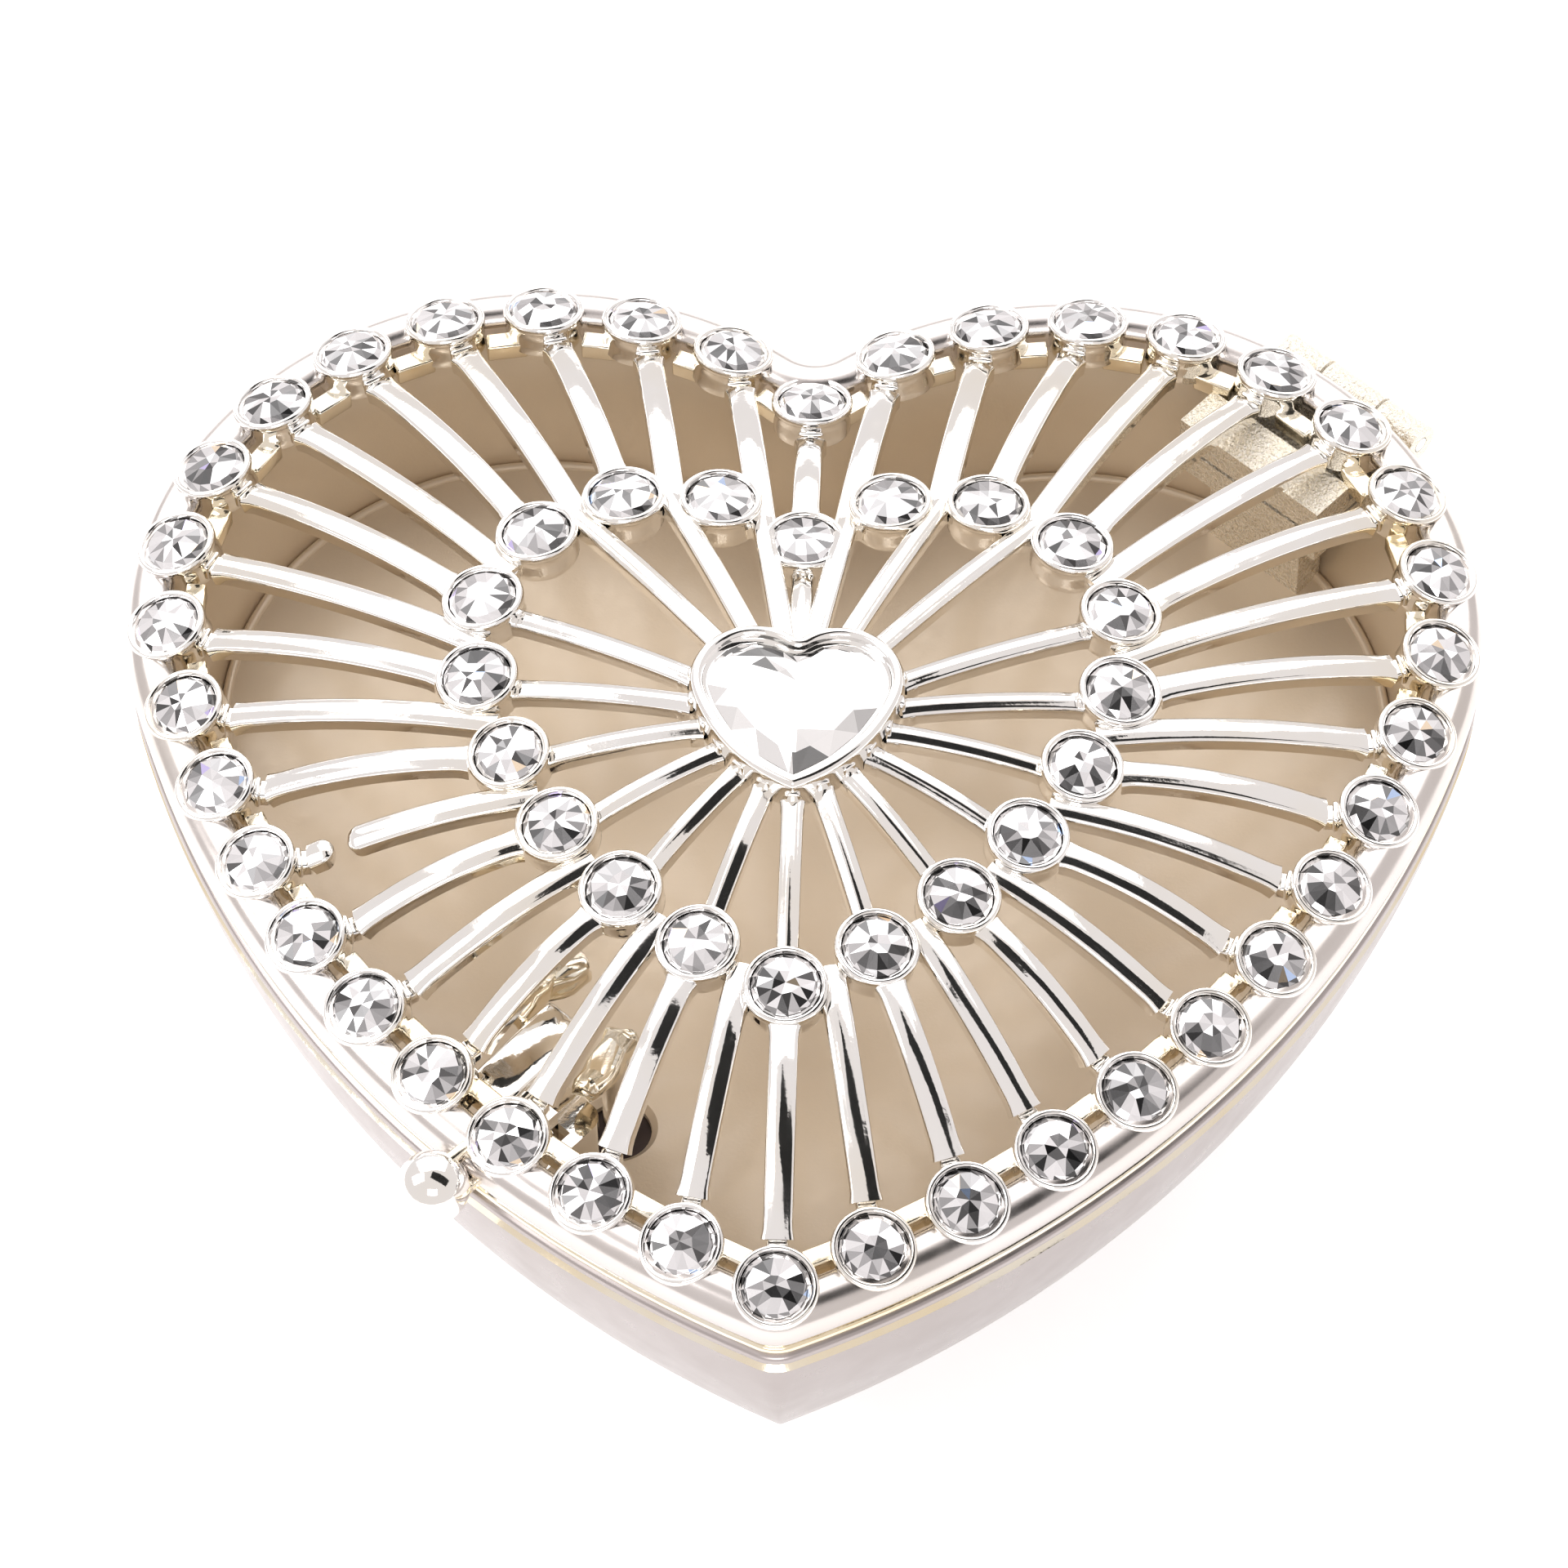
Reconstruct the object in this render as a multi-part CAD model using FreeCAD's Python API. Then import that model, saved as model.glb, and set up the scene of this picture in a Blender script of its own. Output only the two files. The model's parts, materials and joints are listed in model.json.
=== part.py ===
import FreeCAD, Part
import math
import os

from FreeCAD import Placement, Rotation, Vector

# Heart-shaped wind-up music box, millimetres.  +X is right, +Y runs from the tip of the heart to
# its cleft, +Z is up, and the origin is under the middle of the outline, on the resting plane.

# ---- driving sizes: the plan of the heart, measured at the widest line of the rim ----
LOBE_X = 16.9             # each lobe's centre, left and right of the middle
LOBE_Y = 13.7             # and forward of the origin
LOBE_RADIUS = 26.1
LOBE_END = -17.4          # where a lobe runs into its flank, degrees from +X
FLANK_RADIUS = 74.4
CLEFT_RADIUS = 2.2
TIP_RADIUS = 3.0

# ---- heights ----
BASE_HEIGHT = 32.0        # resting plane to the top edge of the base
LID_GAP = 0.2             # shut lid to base
TRAY_DEPTH = 8.5          # base's top edge down to the tray floor
STONE_RISE = 4.5          # base's top edge up to the outer stones
DOME_RISE = 4.7           # outer stones up to the inner stones
BEZEL_RISE = 2.6          # inner stones up to the heart stone

# ---- base ----
WALL = 1.6
FOOT_IN = 17.8            # how far the wall has drawn in at the resting plane
WALL_BOW = 0.856          # share of that drawn in by the square of the depth, the rest evenly
TRAY_IN = 5.2             # inside of the bowl at the tray; its wall thickens down to here
TRAY_THICKNESS = 0.8
TRAY_FIT = 0.1
LEDGE_WIDTH = 1.4
LEDGE_THICKNESS = 1.0
FELT_THICKNESS = 0.6
COVER_Z = 5.6             # underside of the bottom cover, above the key recess
COVER_THICKNESS = 1.0
COVER_BOSS_RADIUS = 2.3
COVER_BOSS_HEIGHT = 5.0
COVER_BOSS_IN = 3.0       # boss centre, inward of the wall's inner face
COVER_BOSS_ANGLE = 70.0    # direction from the lobe's centre to its boss
COVER_WEB = 2.4            # web from a boss to the wall

# ---- stones and their cups ----
OUTER_STONES = 38
INNER_STONES = 20
RING_IN = 2.5             # outer stones, inward of the rim's widest line
INNER_SCALE = 0.505       # inner ring of stones against the outer ring
STONE_RADIUS = 2.2
STONE_TABLE = 1.25        # radius of the flat top facet
STONE_CROWN = 0.7
STONE_GIRDLE = 0.15
STONE_DEPTH = 2.1
CUP_RADIUS = 2.65
CUP_DEPTH = 2.6
CUP_LIP = 0.2             # how far the lip stands above the stone's crown edge
CUP_MOUTH = 2.1
CUP_FIT = 0.05
OUTER_TILT = 17.0         # the cups lean outward, degrees
INNER_TILT = 10.0

# ---- lid ----
BAND_WIDTH = 1.9
RIB_WIDTH = 1.8
RIB_THICKNESS = 1.1
INNER_RIB_WIDTH = 1.4
RIB_START = 1.2           # where a rib leaves its outer cup, inward of the stone's centre
RIB_ARCH = 0.9            # rise of an outer rib above its chord
INNER_RIB_ARCH = 0.35
RIB_DROP = 1.1            # top of a rib below the lip of the cup that it meets
BAR_WIDTH = 1.1
BAR_HEIGHT = 1.1
BEZEL_SCALE = 0.155       # heart bezel against the rim
BEZEL_WALL = 0.7
BEZEL_HEIGHT = 2.8
HEART_STONE_TABLE = 0.55  # table of the heart stone against its girdle
BROKEN_RIB = 12           # this rib, on the left, is cast with a gap
BROKEN_RIB_START = 1.3
BROKEN_RIB_END = 3.4

# ---- hinge, on the right lobe ----
HINGE_ANGLE = 49.0        # direction of the outward normal, degrees from +X
HINGE_OUT = 1.4           # axis, outward of the rim's widest line
HINGE_LENGTH = 11.6
KNUCKLE_RADIUS = 1.3
KNUCKLE_MIDDLE = 4.4
KNUCKLE_GAP = 0.2
HINGE_PIN_RADIUS = 0.5
HINGE_PIN_FIT = 0.05
LEAF_REACH = 10.4         # leaf, inward of the axis
LEAF_THICKNESS = 0.7
LEAF_PAD = 2.2            # thickness of the cast pad at a leaf's inner end
LEAF_PAD_LENGTH = 3.2
LEAF_CLEAR = 0.05

# ---- catch, on the left flank ----
CATCH_ANGLE = -131.0
BALL_RADIUS = 2.25
BALL_OUT = 2.0
BALL_Z = BASE_HEIGHT + 1.9
NECK_RADIUS = 0.75
TONGUE_WIDTH = 2.6
TONGUE_THICKNESS = 1.0
TONGUE_IN = 6.4           # tongue's outer face, inward of the rim's widest line
TONGUE_DROP = 3.6         # tongue's end below the lid
STRIKE_WIDTH = 5.2
STRIKE_LENGTH = 8.7
STRIKE_HEIGHT = 3.6
STRIKE_TOP = BASE_HEIGHT - 1.4
STRIKE_FIT = 0.5

# ---- musical movement ----
PLATE_THICKNESS = 1.0
MODULE = 0.5
DRUM_X = 11.5
AXLE_Y = 9.0
DRUM_RADIUS = 9.4
DRUM_HEIGHT = 5.0
DRUM_SKIN = 0.5
ARBOR_RADIUS = 1.2
RUNNING_FIT = 0.08
CROWN_TEETH = 36
PINION_TEETH = 12
TRAIN_TEETH = 16
SMALL_TEETH = 8
WORM_WHEEL_TEETH = 16
MESH_PLAY = 0.05
WORM_PITCH_RADIUS = 1.3
WORM_CORE = 0.65
CYLINDER_RADIUS = 4.2
CYLINDER_PIN = 0.45
CYLINDER_PIN_RADIUS = 0.15
CYLINDER_END = -15.0      # the cylinder runs from here to CYLINDER_START
CYLINDER_START = -0.6
NOTES = 18
PINS_PER_NOTE = 4
COMB_CLEAR = 0.15
COMB_THICKNESS = 0.5
COMB_BACK = 16.0          # comb's back edge behind the cylinder's axis
KEY_WIDTH = 12.0
KEY_HEIGHT = 4.0
KEY_THICKNESS = 1.3
KEY_HUB_RADIUS = 1.9
SCREW_HEAD_RADIUS = 1.4
SCREW_HEAD_HEIGHT = 0.7
SCREW_RADIUS = 0.7
STOP_RIB = 16             # the stop peg hangs under this rib, on the left
STOP_SHARE = 0.7          # at this share of the rib's length from its outer end
STOP_RADIUS = 0.9
STOP_HOLE_RADIUS = 2.1
STOP_TOP = BASE_HEIGHT - 0.7
STOP_TRAVEL = 2.5
STOP_GUIDE = 1.2          # depth of the guide tube under the tray

# ---- worked out from the sizes above ----
LID_Z = BASE_HEIGHT + LID_GAP
HINGE_Z = BASE_HEIGHT + LID_GAP / 2
OUTER_STONE_Z = BASE_HEIGHT + STONE_RISE
INNER_STONE_Z = OUTER_STONE_Z + DOME_RISE
HEART_STONE_Z = INNER_STONE_Z + BEZEL_RISE
TRAY_TOP = BASE_HEIGHT - TRAY_DEPTH
TRAY_Z = TRAY_TOP - TRAY_THICKNESS
PLATE_Z = COVER_Z + COVER_THICKNESS
PLATE_TOP = PLATE_Z + PLATE_THICKNESS
DRUM_TOP = PLATE_TOP + DRUM_HEIGHT
WHEEL_Z = DRUM_TOP + 0.4
WHEEL_THICKNESS = 0.6
CROWN_PITCH_Z = WHEEL_Z + WHEEL_THICKNESS + 0.65
CROWN_RADIUS = CROWN_TEETH * MODULE / 2
PINION_RADIUS = PINION_TEETH * MODULE / 2
AXLE_Z = CROWN_PITCH_Z + PINION_RADIUS + MESH_PLAY
PINION_X = DRUM_X - CROWN_RADIUS
PINION_WIDTH = 1.2
TRAIN_WIDTH = 1.0
TRAIN_X = CYLINDER_END - 2.6
SECOND_Y = AXLE_Y + (TRAIN_TEETH + SMALL_TEETH) * MODULE / 2 + MESH_PLAY
WORM_WHEEL_RADIUS = WORM_WHEEL_TEETH * MODULE / 2
WORM_X = TRAIN_X - TRAIN_WIDTH / 2 - 2.4
WORM_Y = SECOND_Y - WORM_WHEEL_RADIUS - WORM_PITCH_RADIUS - MESH_PLAY
WORM_LEAD = math.pi * MODULE
WORM_TURNS = 4
FRAME_TOP = AXLE_Z + 4.2   # top of the governor's frame, over the worm
FLY_REACH = 2.2
FAR_PLATE_X = WORM_X - 2.9
BEARING_THICKNESS = 0.9


class Heart:
    """A heart outline of tangent arcs: cleft, lobe, flank and tip, mirrored about x = 0."""

    def __init__(self, lobe_x, lobe_y, lobe_radius, flank_radius, cleft_radius, tip_radius):
        self.lobe = Vector(lobe_x, lobe_y, 0)
        self.lobe_radius = lobe_radius
        self.flank_radius = flank_radius
        self.cleft_radius = cleft_radius
        self.tip_radius = tip_radius
        self.flank = self.lobe + direction(LOBE_END) * (lobe_radius - flank_radius)
        reach = lobe_radius + cleft_radius
        self.cleft = Vector(0, lobe_y + math.sqrt(reach**2 - lobe_x**2), 0)

    def scaled(self, factor, centre_y):
        """The same heart, smaller or larger, about a point on the middle line."""
        lobe_y = centre_y + (self.lobe.y - centre_y) * factor
        sizes = (self.lobe_radius, self.flank_radius, self.cleft_radius, self.tip_radius)
        return Heart(self.lobe.x * factor, lobe_y, *(size * factor for size in sizes))

    def wire(self, inset, z):
        """The closed outline, moved inward by inset, at height z."""
        lobe_radius = self.lobe_radius - inset
        flank_radius = self.flank_radius - inset
        cleft_radius = self.cleft_radius + inset
        tip_radius = max(self.tip_radius - inset, 0.15 * self.tip_radius)
        to_cleft = angle_of(self.cleft - self.lobe)
        drop = math.sqrt((flank_radius - tip_radius) ** 2 - self.flank.x**2)
        tip = Vector(0, self.flank.y - drop, 0)
        to_tip = angle_of(tip - self.flank)
        lobe_start = self.lobe + direction(to_cleft) * lobe_radius
        lobe_middle = self.lobe + direction((to_cleft + LOBE_END) / 2) * lobe_radius
        flank_start = self.flank + direction(LOBE_END) * flank_radius
        flank_middle = self.flank + direction((LOBE_END + to_tip) / 2) * flank_radius
        tip_start = self.flank + direction(to_tip) * flank_radius
        tip_end = Vector(0, tip.y - tip_radius, 0)
        cleft_end = Vector(0, self.cleft.y - cleft_radius, 0)
        arcs = (
            (mirror(lobe_start), cleft_end, lobe_start),
            (lobe_start, lobe_middle, flank_start),
            (flank_start, flank_middle, tip_start),
            (tip_start, tip_end, mirror(tip_start)),
            (mirror(tip_start), mirror(flank_middle), mirror(flank_start)),
            (mirror(flank_start), mirror(lobe_middle), mirror(lobe_start)),
        )
        outline = Part.Wire([Part.Arc(*arc).toShape() for arc in arcs])
        outline.translate(Vector(0, 0, z))
        return outline

    def prism(self, inset, z, height):
        """A plate in the shape of the heart."""
        return Part.Face(self.wire(inset, z)).extrude(Vector(0, 0, height))

    def body(self, profile):
        """A solid whose outline follows a list of (inset, z)."""
        return Part.makeLoft([self.wire(inset, z) for inset, z in profile], True, True)

    def station(self, inset, share):
        """Point and outward angle at a share of the way from the cleft to the tip, right side."""
        lobe_radius = self.lobe_radius - inset
        flank_radius = self.flank_radius - inset
        last = -math.degrees(math.acos(-self.flank.x / flank_radius))
        if share >= 1:
            return self.flank + direction(last) * flank_radius, -90.0
        first = math.degrees(math.acos(-self.lobe.x / lobe_radius))
        lobe_length = math.radians(first - LOBE_END) * lobe_radius
        flank_length = math.radians(LOBE_END - last) * flank_radius
        length = share * (lobe_length + flank_length)
        if share <= 0:
            return self.lobe + direction(first) * lobe_radius, 90.0
        if length < lobe_length:
            angle = first - math.degrees(length / lobe_radius)
            return self.lobe + direction(angle) * lobe_radius, angle
        angle = LOBE_END - math.degrees((length - lobe_length) / flank_radius)
        return self.flank + direction(angle) * flank_radius, angle


def direction(angle):
    """Unit vector in the plan at an angle in degrees."""
    return Vector(math.cos(math.radians(angle)), math.sin(math.radians(angle)), 0)


def angle_of(vector):
    return math.degrees(math.atan2(vector.y, vector.x))


def mirror(point):
    return Vector(-point.x, point.y, point.z)


def box(x, y, z):
    """A box between two values along each axis."""
    size = (x[1] - x[0], y[1] - y[0], z[1] - z[0])
    return Part.makeBox(*size, Vector(x[0], y[0], z[0]))


def post(x, y, z, radius, height):
    return Part.makeCylinder(radius, height, Vector(x, y, z))


def rod(x, y, z, radius, length):
    """A cylinder along +X."""
    return Part.makeCylinder(radius, length, Vector(x, y, z), Vector(1, 0, 0))


def turned(points):
    """A solid turned about Z from (radius, z) points, first and last on the axis."""
    corners = [Vector(radius, 0, z) for radius, z in points]
    outline = Part.makePolygon(corners + corners[:1])
    return Part.Face(outline).revolve(Vector(), Vector(0, 0, 1), 360)


def slab(points, z, height):
    """A plate from its (x, y) corners."""
    corners = [Vector(x, y, z) for x, y in points]
    return Part.Face(Part.makePolygon(corners + corners[:1])).extrude(Vector(0, 0, height))


def fuse(pieces):
    return pieces[0].multiFuse(pieces[1:]) if len(pieces) > 1 else pieces[0]


def placed(shape, placement):
    copy = shape.copy()
    copy.Placement = placement.multiply(copy.Placement)
    return copy


RIM = Heart(LOBE_X, LOBE_Y, LOBE_RADIUS, FLANK_RADIUS, CLEFT_RADIUS, TIP_RADIUS)
OUTER_RING = Heart(LOBE_X, LOBE_Y, LOBE_RADIUS - RING_IN, FLANK_RADIUS - RING_IN,
                   CLEFT_RADIUS + RING_IN, TIP_RADIUS)
INNER_RING = OUTER_RING.scaled(INNER_SCALE, 0)
BEZEL = RIM.scaled(BEZEL_SCALE, 0)


def wall_inset(z):
    """How far the base's outer face has drawn in at height z."""
    depth = 1 - z / BASE_HEIGHT
    return FOOT_IN * depth * (1 - WALL_BOW + WALL_BOW * depth)


def flank_point(angle, inset):
    """Point on the left flank where the outward normal has this angle."""
    centre = mirror(RIM.flank)
    return centre + direction(angle) * (FLANK_RADIUS - inset)


def lobe_point(angle, inset):
    return RIM.lobe + direction(angle) * (LOBE_RADIUS - inset)


def inner_share(step):
    """Which inner stone, or half-way place between two, the rib from an outer stone runs to."""
    return step / 2 if step < 2 else (step + 1) / 2


def ring_point(ring, share, side):
    """A point of an inner outline, counted in inner stones from the cleft; side -1 is the left."""
    point, _ = ring.station(0, share / (INNER_STONES // 2))
    return point if side > 0 else mirror(point)


def stop_place():
    """Plan position of the stop pin, under its rib."""
    start, _ = OUTER_RING.station(0, STOP_RIB / (OUTER_STONES // 2))
    end = ring_point(INNER_RING, inner_share(STOP_RIB), -1)
    return mirror(start) * (1 - STOP_SHARE) + end * STOP_SHARE


BLADE_Z = PLATE_TOP + 4.0
STOP_X = stop_place().x
STOP_Y = stop_place().y


# ---- base ----

def base_shell():
    steps = 8
    rim_foot = BASE_HEIGHT - 2.0
    levels = [FELT_THICKNESS + (rim_foot - FELT_THICKNESS) * i / steps for i in range(steps + 1)]
    wall = [(wall_inset(z), z) for z in levels]
    bead = [(0.7, BASE_HEIGHT - 1.2), (0.2, BASE_HEIGHT - 0.8), (0.2, BASE_HEIGHT - 0.3),
            (0.5, BASE_HEIGHT)]
    outside = RIM.body(wall + bead)
    ledge_z = TRAY_Z - LEDGE_THICKNESS
    lower_levels = [-1.0] + [ledge_z * i / steps for i in range(1, steps + 1)]
    lower = RIM.body([(wall_inset(z) + WALL, z) for z in lower_levels])
    through = RIM.prism(TRAY_IN + LEDGE_WIDTH, ledge_z - 1, LEDGE_THICKNESS + 2)
    shell = outside.cut([lower, through, tray_space()])
    angles = (COVER_BOSS_ANGLE, 180 - COVER_BOSS_ANGLE, -90)
    bosses = [cover_boss(*each).common(outside) for each in zip(cover_boss_points(), angles)]
    shell = fuse([shell] + bosses)
    pilots = [post(point.x, point.y, PLATE_Z - 1, SCREW_RADIUS, 4.5) for point in cover_boss_points()]
    return shell.cut(pilots + [hinge_placed(base_leaf_space()), catch_placed(strike_block(0))])


def tray_space():
    """The inside of the bowl above the tray's ledge, which narrows down to the tray."""
    return RIM.body([(TRAY_IN, TRAY_Z), (TRAY_IN, TRAY_TOP), (WALL, BASE_HEIGHT),
                     (WALL, BASE_HEIGHT + 1)])


def cover_boss(point, angle):
    """A screw boss with the web that ties it to the wall."""
    boss = post(0, 0, PLATE_Z, COVER_BOSS_RADIUS, COVER_BOSS_HEIGHT)
    web = box((0, 4 * COVER_BOSS_RADIUS), (-COVER_WEB / 2, COVER_WEB / 2),
              (PLATE_Z, PLATE_Z + COVER_BOSS_HEIGHT))
    return placed(boss.fuse(web), Placement(point, Rotation(Vector(0, 0, 1), angle)))


def cover_boss_points():
    inset = wall_inset(PLATE_Z) + WALL + COVER_BOSS_IN
    right = lobe_point(COVER_BOSS_ANGLE, inset)
    tip, _ = RIM.station(inset, 1)
    return [right, mirror(right), tip]


def tray_floor():
    plate = RIM.prism(TRAY_IN + TRAY_FIT, TRAY_Z, TRAY_THICKNESS)
    hole = post(STOP_X, STOP_Y, TRAY_Z - 1, STOP_HOLE_RADIUS, 3)
    sink = Part.makeCone(STOP_HOLE_RADIUS, STOP_HOLE_RADIUS + 0.5, 0.5,
                         Vector(STOP_X, STOP_Y, TRAY_TOP - 0.4))
    return plate.cut([hole, sink])


def bottom_cover():
    inset = wall_inset(COVER_Z) + WALL + TRAY_FIT
    plate = RIM.prism(inset, COVER_Z, COVER_THICKNESS)
    holes = [post(DRUM_X, AXLE_Y, COVER_Z - 1, ARBOR_RADIUS + 0.6, 3)]
    for point in cover_boss_points():
        holes.append(post(point.x, point.y, COVER_Z - 1, SCREW_RADIUS + 0.1, 3))
    for x, y in plate_screw_places():
        holes.append(post(x, y, COVER_Z - 1, SCREW_RADIUS, 3))
    return plate.cut(holes)


def felt_ring():
    inset = wall_inset(FELT_THICKNESS) + 0.1
    ring = RIM.prism(inset, 0, FELT_THICKNESS)
    return ring.cut(RIM.prism(inset + WALL - 0.2, 0, FELT_THICKNESS))


def screw(x, y, z, length, up=True):
    """A cheese-head screw whose head bears at z; up means that the shank points up."""
    sign = 1 if up else -1
    axis = Vector(0, 0, sign)
    head = Part.makeCylinder(SCREW_HEAD_RADIUS, SCREW_HEAD_HEIGHT, Vector(x, y, z), axis * -1)
    shank = Part.makeCylinder(SCREW_RADIUS, length, Vector(x, y, z), axis)
    face_z = z - sign * SCREW_HEAD_HEIGHT
    slot_z = sorted((face_z, face_z + sign * 0.3))
    slot = box((x - 2, x + 2), (y - 0.2, y + 0.2), slot_z)
    return head.fuse(shank).cut(slot)


def cover_screws():
    return Part.makeCompound([screw(p.x, p.y, COVER_Z, 4.0) for p in cover_boss_points()])


# ---- hinge ----

def hinge_placed(shape):
    """From the hinge's own frame: x along the pin, y outward, z up from the pin."""
    place = lobe_point(HINGE_ANGLE, -HINGE_OUT) + Vector(0, 0, HINGE_Z)
    return placed(shape, Placement(place, Rotation(Vector(0, 0, 1), HINGE_ANGLE - 90)))


def knuckle(start, end):
    return rod(start, 0, 0, KNUCKLE_RADIUS, end - start)


def leaf(sign, arms):
    """One leaf: a cast pad inside the rim, a thin web over it and an arm to each knuckle."""
    half = HINGE_LENGTH / 2
    near = LID_GAP / 2 + LEAF_CLEAR
    far = near + LEAF_THICKNESS
    pad_far = near + LEAF_PAD
    rim_edge = -HINGE_OUT - BAND_WIDTH
    pad_end = -LEAF_REACH
    web = box((-half, half), (pad_end, rim_edge), sorted((sign * near, sign * far)))
    pad = box((-half, half), (pad_end, pad_end + LEAF_PAD_LENGTH),
              sorted((sign * near, sign * pad_far)))
    pieces = [web, pad]
    for start, end in arms:
        pieces.append(box((start, end), (rim_edge, 0), sorted((sign * near, sign * far))))
        pieces.append(knuckle(start, end))
    bore = rod(-half - 1, 0, 0, HINGE_PIN_RADIUS + HINGE_PIN_FIT, HINGE_LENGTH + 2)
    return fuse(pieces).cut(bore)


def base_arms():
    half = HINGE_LENGTH / 2
    inner = KNUCKLE_MIDDLE / 2 + KNUCKLE_GAP
    return [(-half, -inner), (inner, half)]


def lid_arms():
    return [(-KNUCKLE_MIDDLE / 2, KNUCKLE_MIDDLE / 2)]


def base_leaf_space():
    """What the base's wall gives up to the base leaf."""
    half = HINGE_LENGTH / 2
    near = LID_GAP / 2 + LEAF_CLEAR
    return box((-half, half), (-LEAF_REACH, KNUCKLE_RADIUS), (-near - LEAF_THICKNESS, 0))


def lid_leaf_space():
    """What the lid's rim gives up to the knuckles and to the lid leaf."""
    half = HINGE_LENGTH / 2
    near = LID_GAP / 2 + LEAF_CLEAR
    return box((-half, half), (-LEAF_REACH, KNUCKLE_RADIUS), (-near, near + LEAF_THICKNESS))


def hinge_leaf_base():
    solid = hinge_placed(leaf(-1, base_arms()))
    post_z = TRAY_TOP - HINGE_Z
    half = HINGE_LENGTH / 2
    stem = box((-half + 2, half - 2), (-LEAF_REACH + 1, -LEAF_REACH + LEAF_PAD_LENGTH),
               (post_z, -LEAF_PAD))
    stem = hinge_placed(stem).common(tray_space())
    return solid.fuse(stem)


def hinge_leaf_lid():
    return hinge_placed(leaf(1, lid_arms()))


def hinge_pin():
    return hinge_placed(rod(-HINGE_LENGTH / 2, 0, 0, HINGE_PIN_RADIUS, HINGE_LENGTH))


# ---- catch ----

def catch_placed(shape):
    """From the catch's own frame: y outward from the rim's widest line, z absolute."""
    place = flank_point(CATCH_ANGLE, 0)
    return placed(shape, Placement(place, Rotation(Vector(0, 0, 1), CATCH_ANGLE - 90)))


def strike_block(grow):
    half = STRIKE_WIDTH / 2 + grow
    outer = -WALL / 2 - wall_inset(STRIKE_TOP - STRIKE_HEIGHT)
    return box((-half, half), (outer - STRIKE_LENGTH, outer), (STRIKE_TOP - STRIKE_HEIGHT, STRIKE_TOP))


def catch_strike():
    half = TONGUE_WIDTH / 2 + STRIKE_FIT
    inner = -TONGUE_IN - TONGUE_THICKNESS - STRIKE_FIT
    slot = box((-half, half), (inner, -TONGUE_IN + STRIKE_FIT),
               (STRIKE_TOP - STRIKE_HEIGHT - 1, STRIKE_TOP + 1))
    block = strike_block(0)
    upright = [edge for edge in block.Edges if abs(edge.tangentAt(edge.FirstParameter).z) > 0.9]
    inner_edges = [edge for edge in upright if edge.CenterOfMass.y < -STRIKE_LENGTH / 2]
    return catch_placed(block.makeFillet(1.2, inner_edges).cut(slot))


def catch_tongue():
    half = TONGUE_WIDTH / 2
    inner = -TONGUE_IN - TONGUE_THICKNESS
    foot = box((-half, half), (inner, -BAND_WIDTH), (LID_Z, LID_Z + LEAF_THICKNESS))
    blade = box((-half, half), (inner, -TONGUE_IN), (LID_Z - TONGUE_DROP, LID_Z + LEAF_THICKNESS))
    nose = rod(-half, -TONGUE_IN - 0.1, LID_Z - TONGUE_DROP + 0.4, 0.4, TONGUE_WIDTH)
    return catch_placed(fuse([foot, blade, nose]))


def thumb_ball():
    ball = Part.makeSphere(BALL_RADIUS, Vector(0, BALL_OUT, BALL_Z))
    neck = Part.makeCylinder(NECK_RADIUS, BALL_OUT + BAND_WIDTH, Vector(0, -BAND_WIDTH, BALL_Z),
                             Vector(0, 1, 0))
    return catch_placed(ball.fuse(neck))


# ---- stones and cups ----

def cup_places(ring, count, z, tilt):
    """A placement for every stone: on the ring, leaning outward, z up the stone's axis."""
    places = []
    for index in range(count):
        side = 1 if index <= count // 2 else -1
        step = index if side > 0 else count - index
        point, angle = ring.station(0, step / (count // 2))
        lean = Rotation(Vector(-math.sin(math.radians(angle)), math.cos(math.radians(angle)), 0), tilt)
        if side < 0:
            point = mirror(point)
            angle = 180 - angle
            lean = Rotation(Vector(-math.sin(math.radians(angle)), math.cos(math.radians(angle)), 0), tilt)
        places.append(Placement(Vector(point.x, point.y, z), lean))
    return places


OUTER_PLACES = cup_places(OUTER_RING, OUTER_STONES, OUTER_STONE_Z, OUTER_TILT)
INNER_PLACES = cup_places(INNER_RING, INNER_STONES, INNER_STONE_Z, INNER_TILT)


def round_stone():
    """A chaton: flat table, crown, thin girdle and pointed pavilion; its table is at z = 0."""
    girdle_top = -STONE_CROWN
    girdle_foot = girdle_top - STONE_GIRDLE
    return turned([(0, 0), (STONE_TABLE, 0), (STONE_RADIUS, girdle_top), (STONE_RADIUS, girdle_foot),
                   (0.2, -STONE_DEPTH), (0, -STONE_DEPTH)])


def cup_outside():
    lip = -STONE_CROWN + CUP_LIP
    return turned([(0, lip), (CUP_RADIUS - 0.25, lip), (CUP_RADIUS, lip - 0.25),
                   (CUP_RADIUS, -CUP_DEPTH), (0, -CUP_DEPTH)])


def cup_hollow():
    bore = STONE_RADIUS + CUP_FIT
    shelf = -STONE_CROWN + 0.05
    return turned([(0, 1), (CUP_MOUTH, 1), (CUP_MOUTH, shelf), (bore, shelf),
                   (bore, -STONE_CROWN - STONE_GIRDLE - 0.1), (0.4, -STONE_DEPTH - 0.15),
                   (0, -STONE_DEPTH - 0.15)])


def stones(places):
    return Part.makeCompound([placed(round_stone(), place) for place in places])


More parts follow.
